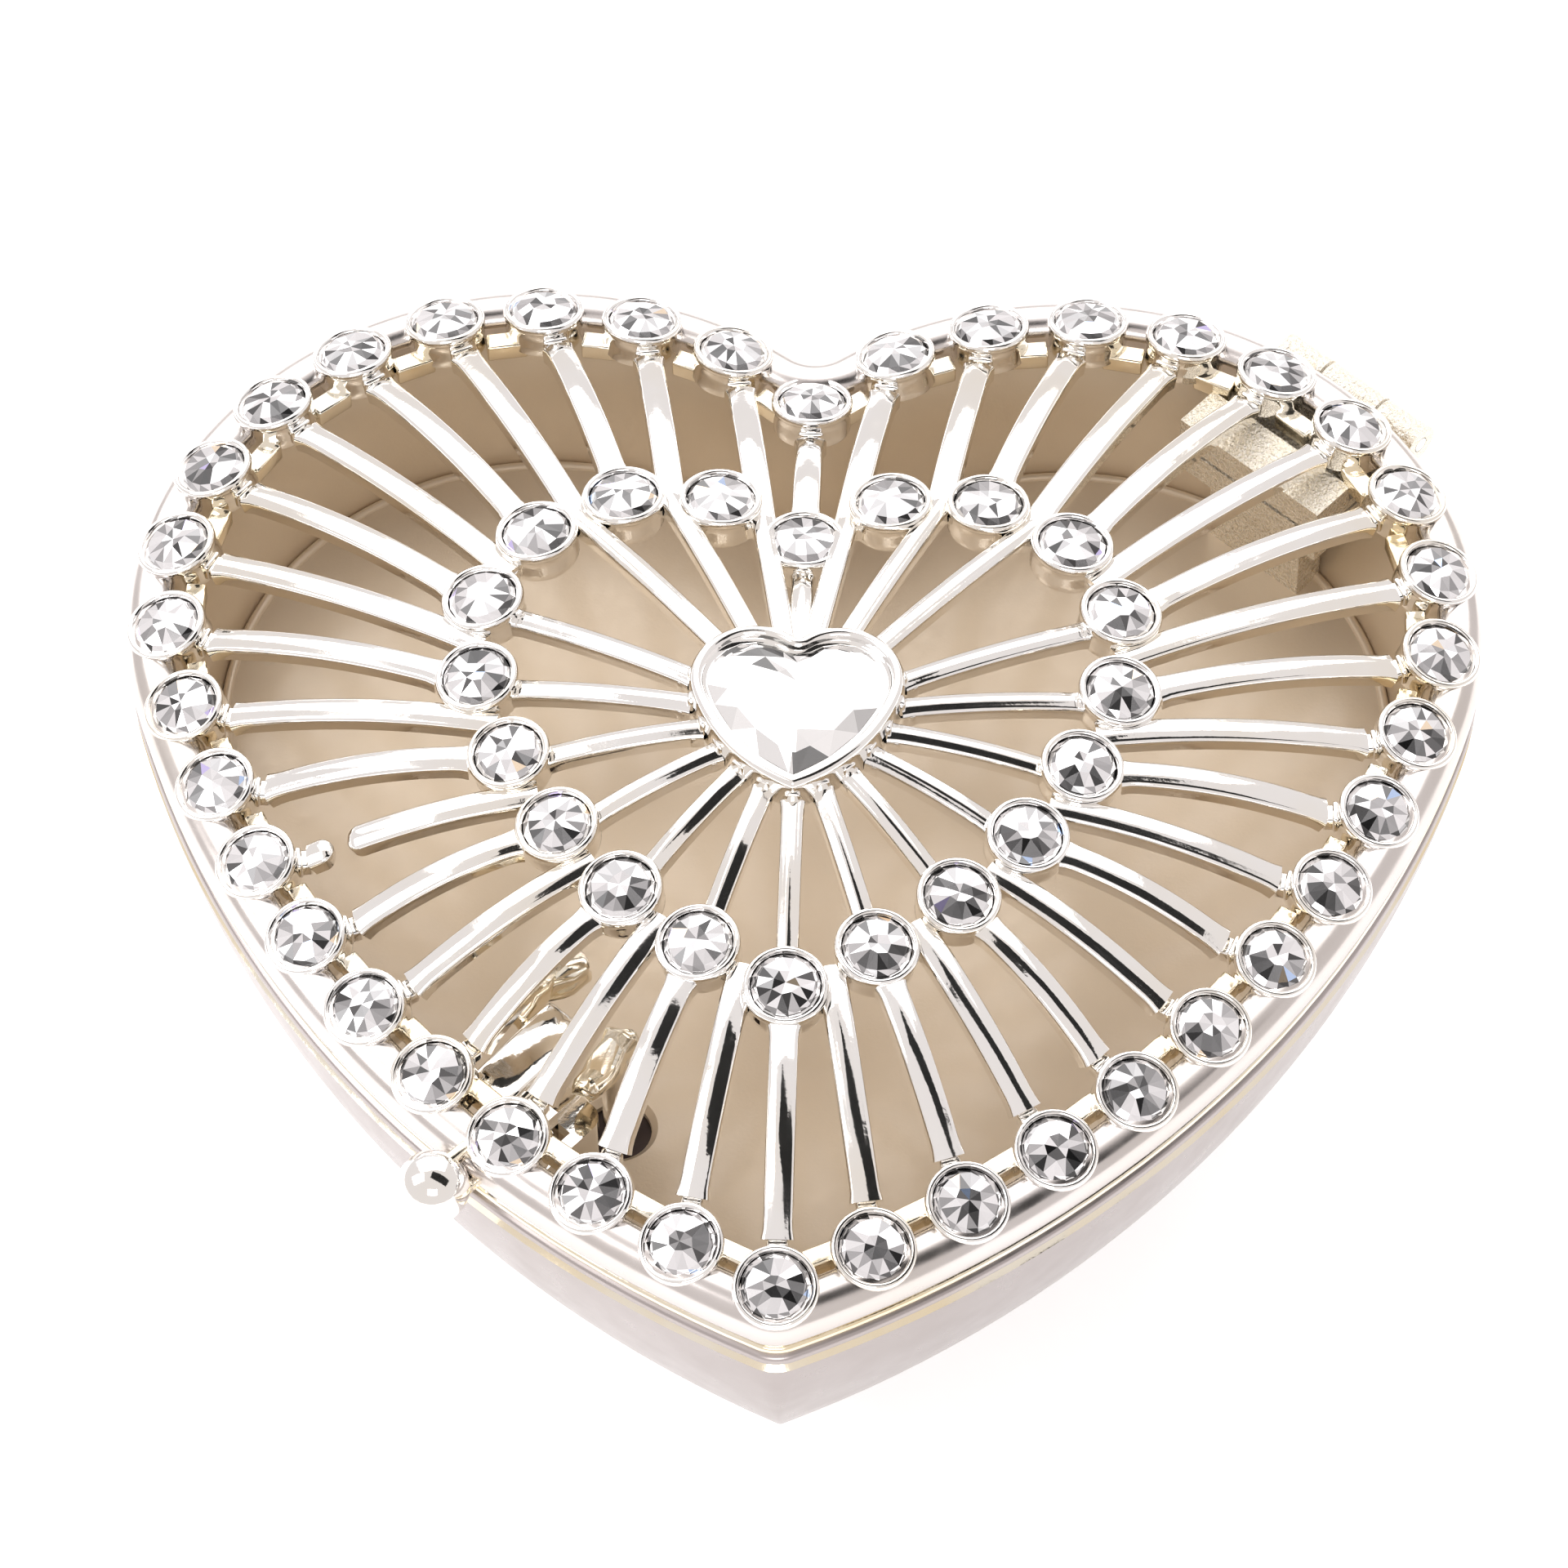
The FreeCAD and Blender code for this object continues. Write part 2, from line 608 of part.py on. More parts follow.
def link(first, second, inward, z):
    """A short bar between two neighbouring cups, from centre to centre, shifted inward."""
    across = second - first
    length = math.hypot(across.x, across.y)
    angle = angle_of(across)
    solid = box((0, length), (-BAR_WIDTH / 2, BAR_WIDTH / 2), (0, BAR_HEIGHT))
    start = Vector(first.x, first.y, z) + inward
    return placed(solid, Placement(start, Rotation(Vector(0, 0, 1), angle)))


def links(places, shift, z):
    bars = []
    for first, second in zip(places, places[1:] + places[:1]):
        middle = (first.Base + second.Base) * 0.5
        inward = Vector(-middle.x, -middle.y, 0).normalize() * shift
        bars.append(link(first.Base, second.Base, inward, z))
    return bars


def lid_rim():
    profile = [(0.5, LID_Z), (0.15, LID_Z + 0.3), (0.45, LID_Z + 0.6), (0.1, LID_Z + 1.1),
               (0.0, LID_Z + 1.9), (0.3, LID_Z + 2.9), (1.1, LID_Z + 3.6)]
    band = RIM.body(profile).cut(RIM.prism(BAND_WIDTH, LID_Z - 1, 8))
    cups = [placed(cup_outside(), place) for place in OUTER_PLACES]
    bars = links(OUTER_PLACES, 1.7, LID_Z + 1.6)
    hollows = [placed(cup_hollow(), place) for place in OUTER_PLACES]
    seats = [hinge_placed(lid_leaf_space()), thumb_ball(), catch_tongue()]
    return fuse([band] + cups + bars).cut(hollows + seats)


# ---- lid lattice ----

def rib(start, end, start_z, end_z, arch, width, cut_back=0.0):
    """A flat strip arched in its own vertical plane, between two points of the plan."""
    across = Vector(end.x - start.x, end.y - start.y, 0)
    length = across.Length
    middle_z = (start_z + end_z) / 2 + arch
    top = [Vector(cut_back, 0, start_z), Vector(length / 2, 0, middle_z), Vector(length, 0, end_z)]
    drop = Vector(0, 0, -RIB_THICKNESS)
    low = [point + drop for point in top]
    outline = Part.Wire([
        Part.Arc(*top).toShape(),
        Part.makeLine(top[2], low[2]),
        Part.Arc(*reversed(low)).toShape(),
        Part.makeLine(low[0], top[0]),
    ])
    solid = Part.Face(outline).extrude(Vector(0, width, 0))
    solid.translate(Vector(0, -width / 2, 0))
    place = Placement(Vector(start.x, start.y, 0), Rotation(Vector(0, 0, 1), angle_of(across)))
    return placed(solid, place)


def outer_ribs():
    ribs = []
    half = OUTER_STONES // 2
    for index, place in enumerate(OUTER_PLACES):
        side = 1 if index <= half else -1
        step = index if side > 0 else OUTER_STONES - index
        end = ring_point(INNER_RING, inner_share(step), side)
        solid = rib(place.Base, end, OUTER_STONE_Z - RIB_DROP + 0.4, INNER_STONE_Z - RIB_DROP,
                    RIB_ARCH, RIB_WIDTH, RIB_START)
        if side < 0 and step == BROKEN_RIB:
            across = Vector(end.x - place.Base.x, end.y - place.Base.y, 0).normalize()
            gap = box((CUP_RADIUS + BROKEN_RIB_START, CUP_RADIUS + BROKEN_RIB_END), (-3, 3),
                      (LID_Z, INNER_STONE_Z + 3))
            gap_place = Placement(Vector(place.Base.x, place.Base.y, 0),
                                  Rotation(Vector(0, 0, 1), angle_of(across)))
            solid = solid.cut(placed(gap, gap_place))
        ribs.append(solid)
    return ribs


def inner_ribs():
    """Ribs from the inner ring to the bezel: from stones at the sides, from gaps at the top."""
    shares = [0, 0.5, 1.5, 2.5] + [step for step in range(4, 11)]
    ribs = []
    for share in shares:
        sides = (1,) if share in (0, INNER_STONES // 2) else (1, -1)
        for side in sides:
            start = ring_point(INNER_RING, share, side)
            end = ring_point(BEZEL, share, side)
            ribs.append(rib(start, end, INNER_STONE_Z - RIB_DROP, HEART_STONE_Z - BEZEL_HEIGHT + 1.0,
                            INNER_RIB_ARCH, INNER_RIB_WIDTH))
    return ribs


def bezel_outside():
    top = HEART_STONE_Z
    return BEZEL.body([(0.0, top - BEZEL_HEIGHT), (0.0, top - 0.6), (0.25, top - 0.3)])


def bezel_hollow():
    return BEZEL.prism(BEZEL_WALL, HEART_STONE_Z - BEZEL_HEIGHT + 0.4, BEZEL_HEIGHT + 2)


def stop_peg():
    """The peg under the lid that presses the stop pin while the lid is shut."""
    chord = OUTER_STONE_Z + (INNER_STONE_Z - OUTER_STONE_Z) * STOP_SHARE
    top = chord - RIB_DROP + RIB_ARCH * 0.8 - RIB_THICKNESS / 2
    foot = STOP_TOP + 0.1
    return Part.makeCone(STOP_RADIUS * 0.8, STOP_RADIUS * 1.2, top - foot, Vector(STOP_X, STOP_Y, foot))


def lid_lattice():
    cups = [placed(cup_outside(), place) for place in INNER_PLACES]
    bars = links(INNER_PLACES, 0.0, INNER_STONE_Z - RIB_DROP - BAR_HEIGHT)
    solid = fuse(outer_ribs() + inner_ribs() + cups + bars + [bezel_outside(), stop_peg()])
    cutters = [placed(cup_hollow(), place) for place in INNER_PLACES]
    cutters += [placed(cup_outside(), place) for place in OUTER_PLACES]
    cutters += links(OUTER_PLACES, 1.7, LID_Z + 1.6)
    cutters += [placed(post(0, 0, 0, CUP_MOUTH, 2), place) for place in OUTER_PLACES]
    cutters.append(bezel_hollow())
    return solid.cut(cutters)


def heart_stone():
    stone = BEZEL.scaled(1.0, 0)
    girdle = BEZEL_WALL + 0.1
    top = HEART_STONE_Z + 0.3
    lower = [(girdle + 1.4, top - 2.4), (girdle, top - 1.2), (girdle, top - 1.0), (girdle + 1.0, top)]
    return stone.body(lower)


# ---- movement: plate, drum, cylinder, comb and governor ----

def plate_screw_places():
    return [(20.0, 1.0), (1.15, -5.6), (-21.0, 17.0)]


def bedplate():
    outline = [(22.0, 0.5), (22.0, 19.0), (-24.0, 19.0), (-24.0, 3.5), (-18.0, -1.0),
               (-15.5, -7.5), (2.0, -7.5), (4.0, -2.0)]
    plate = slab(outline, PLATE_Z, PLATE_THICKNESS)
    holes = [post(DRUM_X, AXLE_Y, PLATE_Z - 1, ARBOR_RADIUS + RUNNING_FIT, 3)]
    holes.append(post(WORM_X, WORM_Y, PLATE_Z - 1, WORM_CORE + RUNNING_FIT, 3))
    holes += [post(x, y, PLATE_Z - 1, SCREW_RADIUS, 3) for x, y in plate_screw_places()]
    return plate.cut(holes)


def plate_screws():
    solids = [screw(x, y, PLATE_TOP, 1.6, up=False) for x, y in plate_screw_places()]
    return Part.makeCompound(solids)


def spring_housing():
    can = post(DRUM_X, AXLE_Y, PLATE_TOP, DRUM_RADIUS, DRUM_HEIGHT)
    inside = post(DRUM_X, AXLE_Y, PLATE_TOP + DRUM_SKIN, DRUM_RADIUS - DRUM_SKIN,
                  DRUM_HEIGHT - 2 * DRUM_SKIN)
    bore = post(DRUM_X, AXLE_Y, PLATE_TOP - 1, ARBOR_RADIUS + RUNNING_FIT, DRUM_HEIGHT + 2)
    return can.cut([inside, bore])


def mainspring():
    """The coiled spring, run down: a band of close turns against the can's wall."""
    outer = DRUM_RADIUS - DRUM_SKIN - 0.1
    inner = outer - 3.6
    z = PLATE_TOP + DRUM_SKIN + 0.2
    height = DRUM_HEIGHT - 2 * DRUM_SKIN - 0.4
    coil = post(DRUM_X, AXLE_Y, z, outer, height)
    return coil.cut(post(DRUM_X, AXLE_Y, z, inner, height))


def gear(teeth, width, bore):
    """A spur gear along +X from x = 0, with a tooth on +Z and generous backlash."""
    pitch = teeth * MODULE / 2
    root = pitch - 1.1 * MODULE
    tip = pitch + 0.85 * MODULE
    step = 360 / teeth
    half_pitch = math.degrees(0.6 * MODULE / pitch)
    half_root = math.degrees(0.85 * MODULE / pitch)
    half_tip = math.degrees(0.3 * MODULE / pitch)
    corners = []
    for index in range(teeth):
        middle = 90 + index * step
        for offset, radius in ((-half_root, root), (-half_pitch, pitch), (-half_tip, tip),
                               (half_tip, tip), (half_pitch, pitch), (half_root, root)):
            corners.append(direction(middle + offset) * radius)
    corners = [Vector(0, corner.x, corner.y) for corner in corners]
    blank = Part.Face(Part.makePolygon(corners + corners[:1])).extrude(Vector(width, 0, 0))
    return blank.cut(rod(-1, 0, 0, bore, width + 2))


def drive_wheel():
    """The crown wheel on the winding arbor, its teeth standing up near the edge."""
    disc = post(DRUM_X, AXLE_Y, WHEEL_Z, CROWN_RADIUS + PINION_WIDTH / 2 - 0.05, WHEEL_THICKNESS)
    disc = disc.cut(post(DRUM_X, AXLE_Y, WHEEL_Z - 1, ARBOR_RADIUS, 3))
    foot = WHEEL_Z + WHEEL_THICKNESS
    top = CROWN_PITCH_Z + 0.8 * MODULE
    inner = CROWN_RADIUS - PINION_WIDTH / 2
    corners = [(-0.36, foot), (0.36, foot), (0.18, top), (-0.18, top)]
    points = [Vector(inner, y, z) for y, z in corners]
    tooth = Part.Face(Part.makePolygon(points + points[:1])).extrude(Vector(PINION_WIDTH - 0.15, 0, 0))
    step = 360 / CROWN_TEETH
    centre = Vector(DRUM_X, AXLE_Y, 0)
    teeth = []
    for index in range(CROWN_TEETH):
        turn = Rotation(Vector(0, 0, 1), (index + 0.5) * step)
        teeth.append(placed(tooth, Placement(centre, turn)))
    return fuse([disc] + teeth)


def winding_arbor():
    top = WHEEL_Z + WHEEL_THICKNESS + 0.4
    return post(DRUM_X, AXLE_Y, COVER_Z - 2.0, ARBOR_RADIUS, top - COVER_Z + 2.0)


def winding_key():
    """A flat wing key on a short hub, pushed onto the arbor's lower end."""
    top = COVER_Z - 0.3
    foot = top - KEY_HEIGHT
    hub = post(DRUM_X, AXLE_Y, foot + 1.0, KEY_HUB_RADIUS, KEY_HEIGHT - 1.0)
    half = KEY_WIDTH / 2
    wing = box((DRUM_X - half, DRUM_X + half), (AXLE_Y - KEY_THICKNESS / 2, AXLE_Y + KEY_THICKNESS / 2),
               (foot, top - 0.4))
    ends = [edge for edge in wing.Edges if abs(edge.tangentAt(edge.FirstParameter).y) > 0.9]
    wing = wing.makeFillet(1.3, ends)
    socket = post(DRUM_X, AXLE_Y, COVER_Z - 2.0, ARBOR_RADIUS, 4)
    return hub.fuse(wing).cut(socket)


def cylinder_arbor():
    start = TRAIN_X - TRAIN_WIDTH / 2 - 0.3
    end = PINION_X + PINION_WIDTH / 2 + 0.3
    return rod(start, AXLE_Y, AXLE_Z, 0.6, end - start)


def crown_pinion():
    solid = gear(PINION_TEETH, PINION_WIDTH, 0.6)
    turn = Rotation(Vector(1, 0, 0), 180)
    place = Vector(PINION_X - PINION_WIDTH / 2, AXLE_Y, AXLE_Z)
    return placed(solid, Placement(place, turn))


def train_gear():
    solid = gear(TRAIN_TEETH, TRAIN_WIDTH, 0.6)
    place = Vector(TRAIN_X - TRAIN_WIDTH / 2, AXLE_Y, AXLE_Z)
    return placed(solid, Placement(place, Rotation()))


def note_cylinder():
    length = CYLINDER_START - CYLINDER_END
    barrel = rod(CYLINDER_END, AXLE_Y, AXLE_Z, CYLINDER_RADIUS, length)
    inside = rod(CYLINDER_END + 0.5, AXLE_Y, AXLE_Z, CYLINDER_RADIUS - 0.5, length - 1.0)
    return barrel.cut([inside, rod(CYLINDER_END - 1, AXLE_Y, AXLE_Z, 0.6, length + 2)])


def note_x(note):
    """Middle of a note's track along the cylinder."""
    margin = 0.8
    usable = CYLINDER_START - CYLINDER_END - 2 * margin
    return CYLINDER_END + margin + usable * note / (NOTES - 1)


def cylinder_pins():
    golden = 137.508
    pins = []
    for note in range(NOTES):
        for count in range(PINS_PER_NOTE):
            angle = (note * PINS_PER_NOTE + count) * golden
            outward = Vector(0, math.cos(math.radians(angle)), math.sin(math.radians(angle)))
            start = Vector(note_x(note), AXLE_Y, AXLE_Z) + outward * CYLINDER_RADIUS
            pins.append(Part.makeCylinder(CYLINDER_PIN_RADIUS, CYLINDER_PIN, start, outward))
    return Part.makeCompound(pins)


def comb():
    """The steel comb: one tongue to a note, longer for the low notes, with a thick root."""
    tip_y = AXLE_Y - CYLINDER_RADIUS - CYLINDER_PIN - COMB_CLEAR
    back_y = AXLE_Y - COMB_BACK
    half = 0.28
    corners = [(CYLINDER_START, back_y)]
    for note in reversed(range(NOTES)):
        root_y = tip_y - 3.5 - 3.0 * note / (NOTES - 1)
        x = note_x(note)
        corners += [(x + half, root_y), (x + half, tip_y), (x - half, tip_y), (x - half, root_y)]
    corners.append((CYLINDER_END, back_y))
    plate = slab(corners, AXLE_Z, COMB_THICKNESS)
    heel = box((CYLINDER_END, CYLINDER_START), (back_y, back_y + 3.6), (AXLE_Z, AXLE_Z + 1.0))
    holes = [post(x, y, AXLE_Z - 1, SCREW_RADIUS, 4) for x, y in comb_screw_places()]
    return plate.fuse(heel).cut(holes)


def comb_screw_places():
    y = AXLE_Y - COMB_BACK + 1.9
    return [(CYLINDER_END + 2.6, y), (CYLINDER_START - 2.6, y)]


def comb_screws():
    solids = [screw(x, y, AXLE_Z + 1.0, 3.0, up=False) for x, y in comb_screw_places()]
    return Part.makeCompound(solids)


def comb_block():
    y = (AXLE_Y - COMB_BACK, AXLE_Y - COMB_BACK + 3.8)
    block = box((CYLINDER_END, CYLINDER_START), y, (PLATE_TOP, AXLE_Z))
    holes = [post(x, place_y, AXLE_Z - 3, SCREW_RADIUS, 5) for x, place_y in comb_screw_places()]
    return block.cut(holes)


def bearing(x, y_from, y_to, top, axles):
    """An upright plate with a bore for each axle that it carries."""
    plate = box((x - BEARING_THICKNESS / 2, x + BEARING_THICKNESS / 2), (y_from, y_to), (PLATE_TOP, top))
    return plate.cut([rod(x - 2, y, AXLE_Z, radius + RUNNING_FIT, 4) for y, radius in axles])


def bearings():
    near = bearing((CYLINDER_START + PINION_X - PINION_WIDTH / 2) / 2, AXLE_Y - 2, AXLE_Y + 2,
                   AXLE_Z + 1.8, [(AXLE_Y, 0.6)])
    far = bearing((CYLINDER_END + TRAIN_X + TRAIN_WIDTH / 2) / 2, AXLE_Y - 2, SECOND_Y + 1.6,
                  AXLE_Z + 1.8, [(AXLE_Y, 0.6), (SECOND_Y, 0.45)])
    return Part.makeCompound([near, far])


def second_arbor():
    start = FAR_PLATE_X - BEARING_THICKNESS / 2
    end = (CYLINDER_END + TRAIN_X + TRAIN_WIDTH / 2) / 2 + BEARING_THICKNESS / 2
    return rod(start, SECOND_Y, AXLE_Z, 0.45, end - start)


def second_pinion():
    solid = gear(SMALL_TEETH, TRAIN_WIDTH, 0.45)
    place = Vector(TRAIN_X - TRAIN_WIDTH / 2, SECOND_Y, AXLE_Z)
    half_step = 180 / SMALL_TEETH
    return placed(solid, Placement(place, Rotation(Vector(1, 0, 0), 90 + half_step)))


def worm_wheel():
    width = 0.9
    solid = gear(WORM_WHEEL_TEETH, width, 0.45)
    return placed(solid, Placement(Vector(WORM_X - width / 2, SECOND_Y, AXLE_Z), Rotation()))


def governor_worm():
    """A right-hand worm on the fly's arbor, its thread clear of the wheel's tooth at rest."""
    turns_length = WORM_TURNS * WORM_LEAD
    start_z = AXLE_Z - turns_length / 2
    core = post(WORM_X, WORM_Y, PLATE_Z + 0.3, WORM_CORE, FRAME_TOP - PLATE_Z - 0.3)
    path = Part.makeHelix(WORM_LEAD, turns_length, WORM_PITCH_RADIUS)
    tip = WORM_PITCH_RADIUS + 0.75 * MODULE
    root = WORM_CORE - 0.1
    section = [(root, -0.3), (tip, -0.13), (tip, 0.13), (root, 0.3)]
    points = [Vector(radius, 0, z) for radius, z in section]
    outline = Part.makePolygon(points + points[:1])
    thread = Part.Wire(path.Edges).makePipeShell([outline], True, True)
    quarter = 90 + 180
    place = Placement(Vector(WORM_X, WORM_Y, start_z), Rotation(Vector(0, 0, 1), quarter))
    return core.fuse(placed(thread, place))


def governor_fly():
    """The air brake: two vanes on a hub that sits on the worm's arbor."""
    foot = PLATE_TOP + 2.0
    height = 3.0
    hub = post(WORM_X, WORM_Y, foot, 1.1, height)
    vane = box((WORM_X - FLY_REACH, WORM_X + FLY_REACH), (WORM_Y - 0.15, WORM_Y + 0.15),
               (foot, foot + height))
    bore = post(WORM_X, WORM_Y, foot - 1, WORM_CORE, height + 2)
    return hub.fuse(vane).cut(bore)


def governor_frame():
    """The upright that carries the second arbor's end, with an arm over the worm."""
    plate = bearing(FAR_PLATE_X, WORM_Y - 1.4, SECOND_Y + 1.6, FRAME_TOP, [(SECOND_Y, 0.45)])
    arm = box((FAR_PLATE_X - BEARING_THICKNESS / 2, WORM_X + 1.2), (WORM_Y - 1.4, WORM_Y + 1.2),
              (FRAME_TOP - 0.6, FRAME_TOP))
    pivot = post(WORM_X, WORM_Y, AXLE_Z + 2, WORM_CORE + RUNNING_FIT, 3)
    return plate.fuse(arm).cut(pivot)


def stop_pin():
    foot = BLADE_Z + 0.4
    stem = post(STOP_X, STOP_Y, foot, STOP_RADIUS, STOP_TOP - foot - 0.5)
    collar_top = TRAY_Z - STOP_GUIDE - STOP_TRAVEL - 0.3
    collar = post(STOP_X, STOP_Y, collar_top - 0.8, STOP_RADIUS + 0.6, 0.8)
    head = Part.makeSphere(STOP_RADIUS, Vector(STOP_X, STOP_Y, STOP_TOP - STOP_RADIUS))
    return fuse([stem, collar, head])


def stop_guide():
    """The tube under the tray that the stop pin slides in, hung from the tray's hole."""
    foot = TRAY_Z - STOP_GUIDE
    flange = post(STOP_X, STOP_Y, TRAY_Z - 0.5, STOP_HOLE_RADIUS + 1.0, 0.5)
    tube = post(STOP_X, STOP_Y, foot, STOP_RADIUS + 0.7, STOP_GUIDE)
    bore = post(STOP_X, STOP_Y, foot - 1, STOP_RADIUS + RUNNING_FIT, STOP_GUIDE + 2)
    return flange.fuse(tube).cut(bore)


def stop_blade():
    """The spring blade that the stop pin bends to bring its tip against the fly."""
    strip = [(STOP_X - 0.9, STOP_Y - 0.7), (STOP_X + 1.0, STOP_Y - 0.7), (STOP_X + 1.0, STOP_Y + 1.6),
             (-15.6, -8.0), (-16.2, -3.0), (-16.8, 1.5), (-18.2, 6.8), (-19.0, 6.6), (-18.4, 1.0),
             (-18.0, -3.0), (-17.2, -9.0)]
    blade = slab(strip, BLADE_Z, 0.35)
    stand = box((-18.0, -16.8), (-1.0, 1.0), (PLATE_TOP, BLADE_Z))
    return blade.fuse(stand)


NODES = {
    "base_shell": base_shell,
    "tray_floor": tray_floor,
    "bottom_cover": bottom_cover,
    "cover_screws": cover_screws,
    "felt_ring": felt_ring,
    "hinge_leaf_base": hinge_leaf_base,
    "hinge_pin": hinge_pin,
    "catch_strike": catch_strike,
    "lid_rim": lid_rim,
    "lid_lattice": lid_lattice,
    "outer_stones": lambda: stones(OUTER_PLACES),
    "inner_stones": lambda: stones(INNER_PLACES),
    "heart_stone": heart_stone,
    "hinge_leaf_lid": hinge_leaf_lid,
    "catch_tongue": catch_tongue,
    "thumb_ball": thumb_ball,
    "bedplate": bedplate,
    "plate_screws": plate_screws,
    "spring_housing": spring_housing,
    "mainspring": mainspring,
    "bearings": bearings,
    "comb_block": comb_block,
    "comb": comb,
    "comb_screws": comb_screws,
    "governor_frame": governor_frame,
    "stop_guide": stop_guide,
    "stop_blade": stop_blade,
    "winding_key": winding_key,
    "winding_arbor": winding_arbor,
    "drive_wheel": drive_wheel,
    "note_cylinder": note_cylinder,
    "cylinder_pins": cylinder_pins,
    "cylinder_arbor": cylinder_arbor,
    "crown_pinion": crown_pinion,
    "train_gear": train_gear,
    "second_arbor": second_arbor,
    "second_pinion": second_pinion,
    "worm_wheel": worm_wheel,
    "governor_worm": governor_worm,
    "governor_fly": governor_fly,
    "stop_pin": stop_pin,
}


def main():
    os.makedirs("parts", exist_ok=True)
    for name, make in NODES.items():
        shape = make()
        print(name, len(shape.Solids), "solids", round(shape.Volume, 1), "mm3", shape.isValid())
        shape.exportStep(os.path.join("parts", name + ".step"))


main()
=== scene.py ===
import json
import math
import random

import bmesh
import bpy
from mathutils import Matrix, Quaternion, Vector, noise


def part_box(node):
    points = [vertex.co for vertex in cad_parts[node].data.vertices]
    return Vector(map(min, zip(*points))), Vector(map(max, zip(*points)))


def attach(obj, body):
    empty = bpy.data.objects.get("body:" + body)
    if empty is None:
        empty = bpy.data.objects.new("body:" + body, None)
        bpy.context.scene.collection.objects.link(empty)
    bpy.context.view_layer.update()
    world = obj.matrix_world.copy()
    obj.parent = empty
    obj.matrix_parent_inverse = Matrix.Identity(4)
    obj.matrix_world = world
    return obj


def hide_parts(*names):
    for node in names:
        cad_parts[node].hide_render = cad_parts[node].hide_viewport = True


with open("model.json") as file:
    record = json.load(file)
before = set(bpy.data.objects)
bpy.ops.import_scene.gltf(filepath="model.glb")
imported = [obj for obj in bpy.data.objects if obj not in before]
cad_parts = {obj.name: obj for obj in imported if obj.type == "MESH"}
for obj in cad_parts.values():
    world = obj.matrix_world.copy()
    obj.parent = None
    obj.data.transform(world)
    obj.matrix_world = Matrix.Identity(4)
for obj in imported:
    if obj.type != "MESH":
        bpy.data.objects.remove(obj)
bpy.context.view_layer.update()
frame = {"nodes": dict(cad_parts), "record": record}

MM = 0.001


# ---------------------------------------------------------------------------------------------
# Cast bowl.  The base is one zinc casting, a deep heart-shaped bowl that draws in towards its
# foot, with a bead under the parting line.  It is polished and silver plated outside, and its
# outer wall is coloured a darker pinkish grey than the plate, painted shade.  The inside keeps
# the warmer champagne tone of the lacquered plate.

class Heart:
    """A heart outline of tangent arcs, in metres: cleft, lobe, flank and tip, mirrored about x = 0."""

    def __init__(self, lobe_x, lobe_y, lobe_radius, lobe_end, flank_radius, cleft_radius, tip_radius):
        self.lobe = Vector((lobe_x, lobe_y))
        self.lobe_radius = lobe_radius
        self.lobe_end = math.radians(lobe_end)
        self.flank_radius = flank_radius
        self.cleft_radius = cleft_radius
        self.tip_radius = tip_radius
        self.flank = self.lobe + aim(self.lobe_end) * (lobe_radius - flank_radius)
        self.cleft = Vector((0, lobe_y + math.sqrt((lobe_radius + cleft_radius) ** 2 - lobe_x**2)))

    def scaled(self, factor):
        sizes = (self.flank_radius * factor, self.cleft_radius * factor, self.tip_radius * factor)
        return Heart(self.lobe.x * factor, self.lobe.y * factor, self.lobe_radius * factor,
                     math.degrees(self.lobe_end), *sizes)

    def loop(self, inset, steps=60):
        """Points of the closed outline moved inward by inset; the same count for every inset."""
        lobe_radius = self.lobe_radius - inset
        flank_radius = self.flank_radius - inset
        cleft_radius = self.cleft_radius + inset
        tip_radius = max(self.tip_radius - inset, 0.12 * self.tip_radius)
        to_cleft = bearing(self.cleft - self.lobe)
        drop = math.sqrt((flank_radius - tip_radius) ** 2 - self.flank.x**2)
        tip = Vector((0, self.flank.y - drop))
        to_tip = bearing(tip - self.flank)
        spans = (
            (self.cleft, cleft_radius, -math.pi / 2, to_cleft - math.pi, steps // 6),
            (self.lobe, lobe_radius, to_cleft, self.lobe_end, steps),
            (self.flank, flank_radius, self.lobe_end, to_tip, steps // 2),
            (tip, tip_radius, to_tip, -math.pi / 2, steps // 8),
        )
        right = []
        for centre, radius, start, end, count in spans:
            for step in range(count):
                right.append(centre + aim(start + (end - start) * step / count) * radius)
        right.append(tip + Vector((0, -tip_radius)))
        left = [Vector((-point.x, point.y)) for point in reversed(right[1:-1])]
        return right + left

    def station(self, inset, share):
        """Point at a share of the way from the cleft to the tip, on the right side."""
        lobe_radius = self.lobe_radius - inset
        flank_radius = self.flank_radius - inset
        first = math.acos(-self.lobe.x / lobe_radius)
        last = -math.acos(-self.flank.x / flank_radius)
        lobe_length = (first - self.lobe_end) * lobe_radius
        flank_length = (self.lobe_end - last) * flank_radius
        length = share * (lobe_length + flank_length)
        if length < lobe_length:
            return self.lobe + aim(first - length / lobe_radius) * lobe_radius
        return self.flank + aim(self.lobe_end - (length - lobe_length) / flank_radius) * flank_radius


def aim(angle):
    return Vector((math.cos(angle), math.sin(angle)))


def bearing(vector):
    return math.atan2(vector.y, vector.x)


def new_piece(name, verts, faces, materials, crease=35, pick=None):
    """A mesh object from vertices and faces; pick gives each face its material's place."""
    mesh = bpy.data.meshes.new(name)
    mesh.from_pydata([tuple(vert) for vert in verts], [], faces)
    for material in materials:
        mesh.materials.append(material)
    if pick:
        for face in mesh.polygons:
            face.material_index = pick(face)
    mesh.shade_smooth()
    mesh.set_sharp_from_angle(angle=math.radians(crease))
    piece = bpy.data.objects.new(name, mesh)
    bpy.context.scene.collection.objects.link(piece)
    return piece


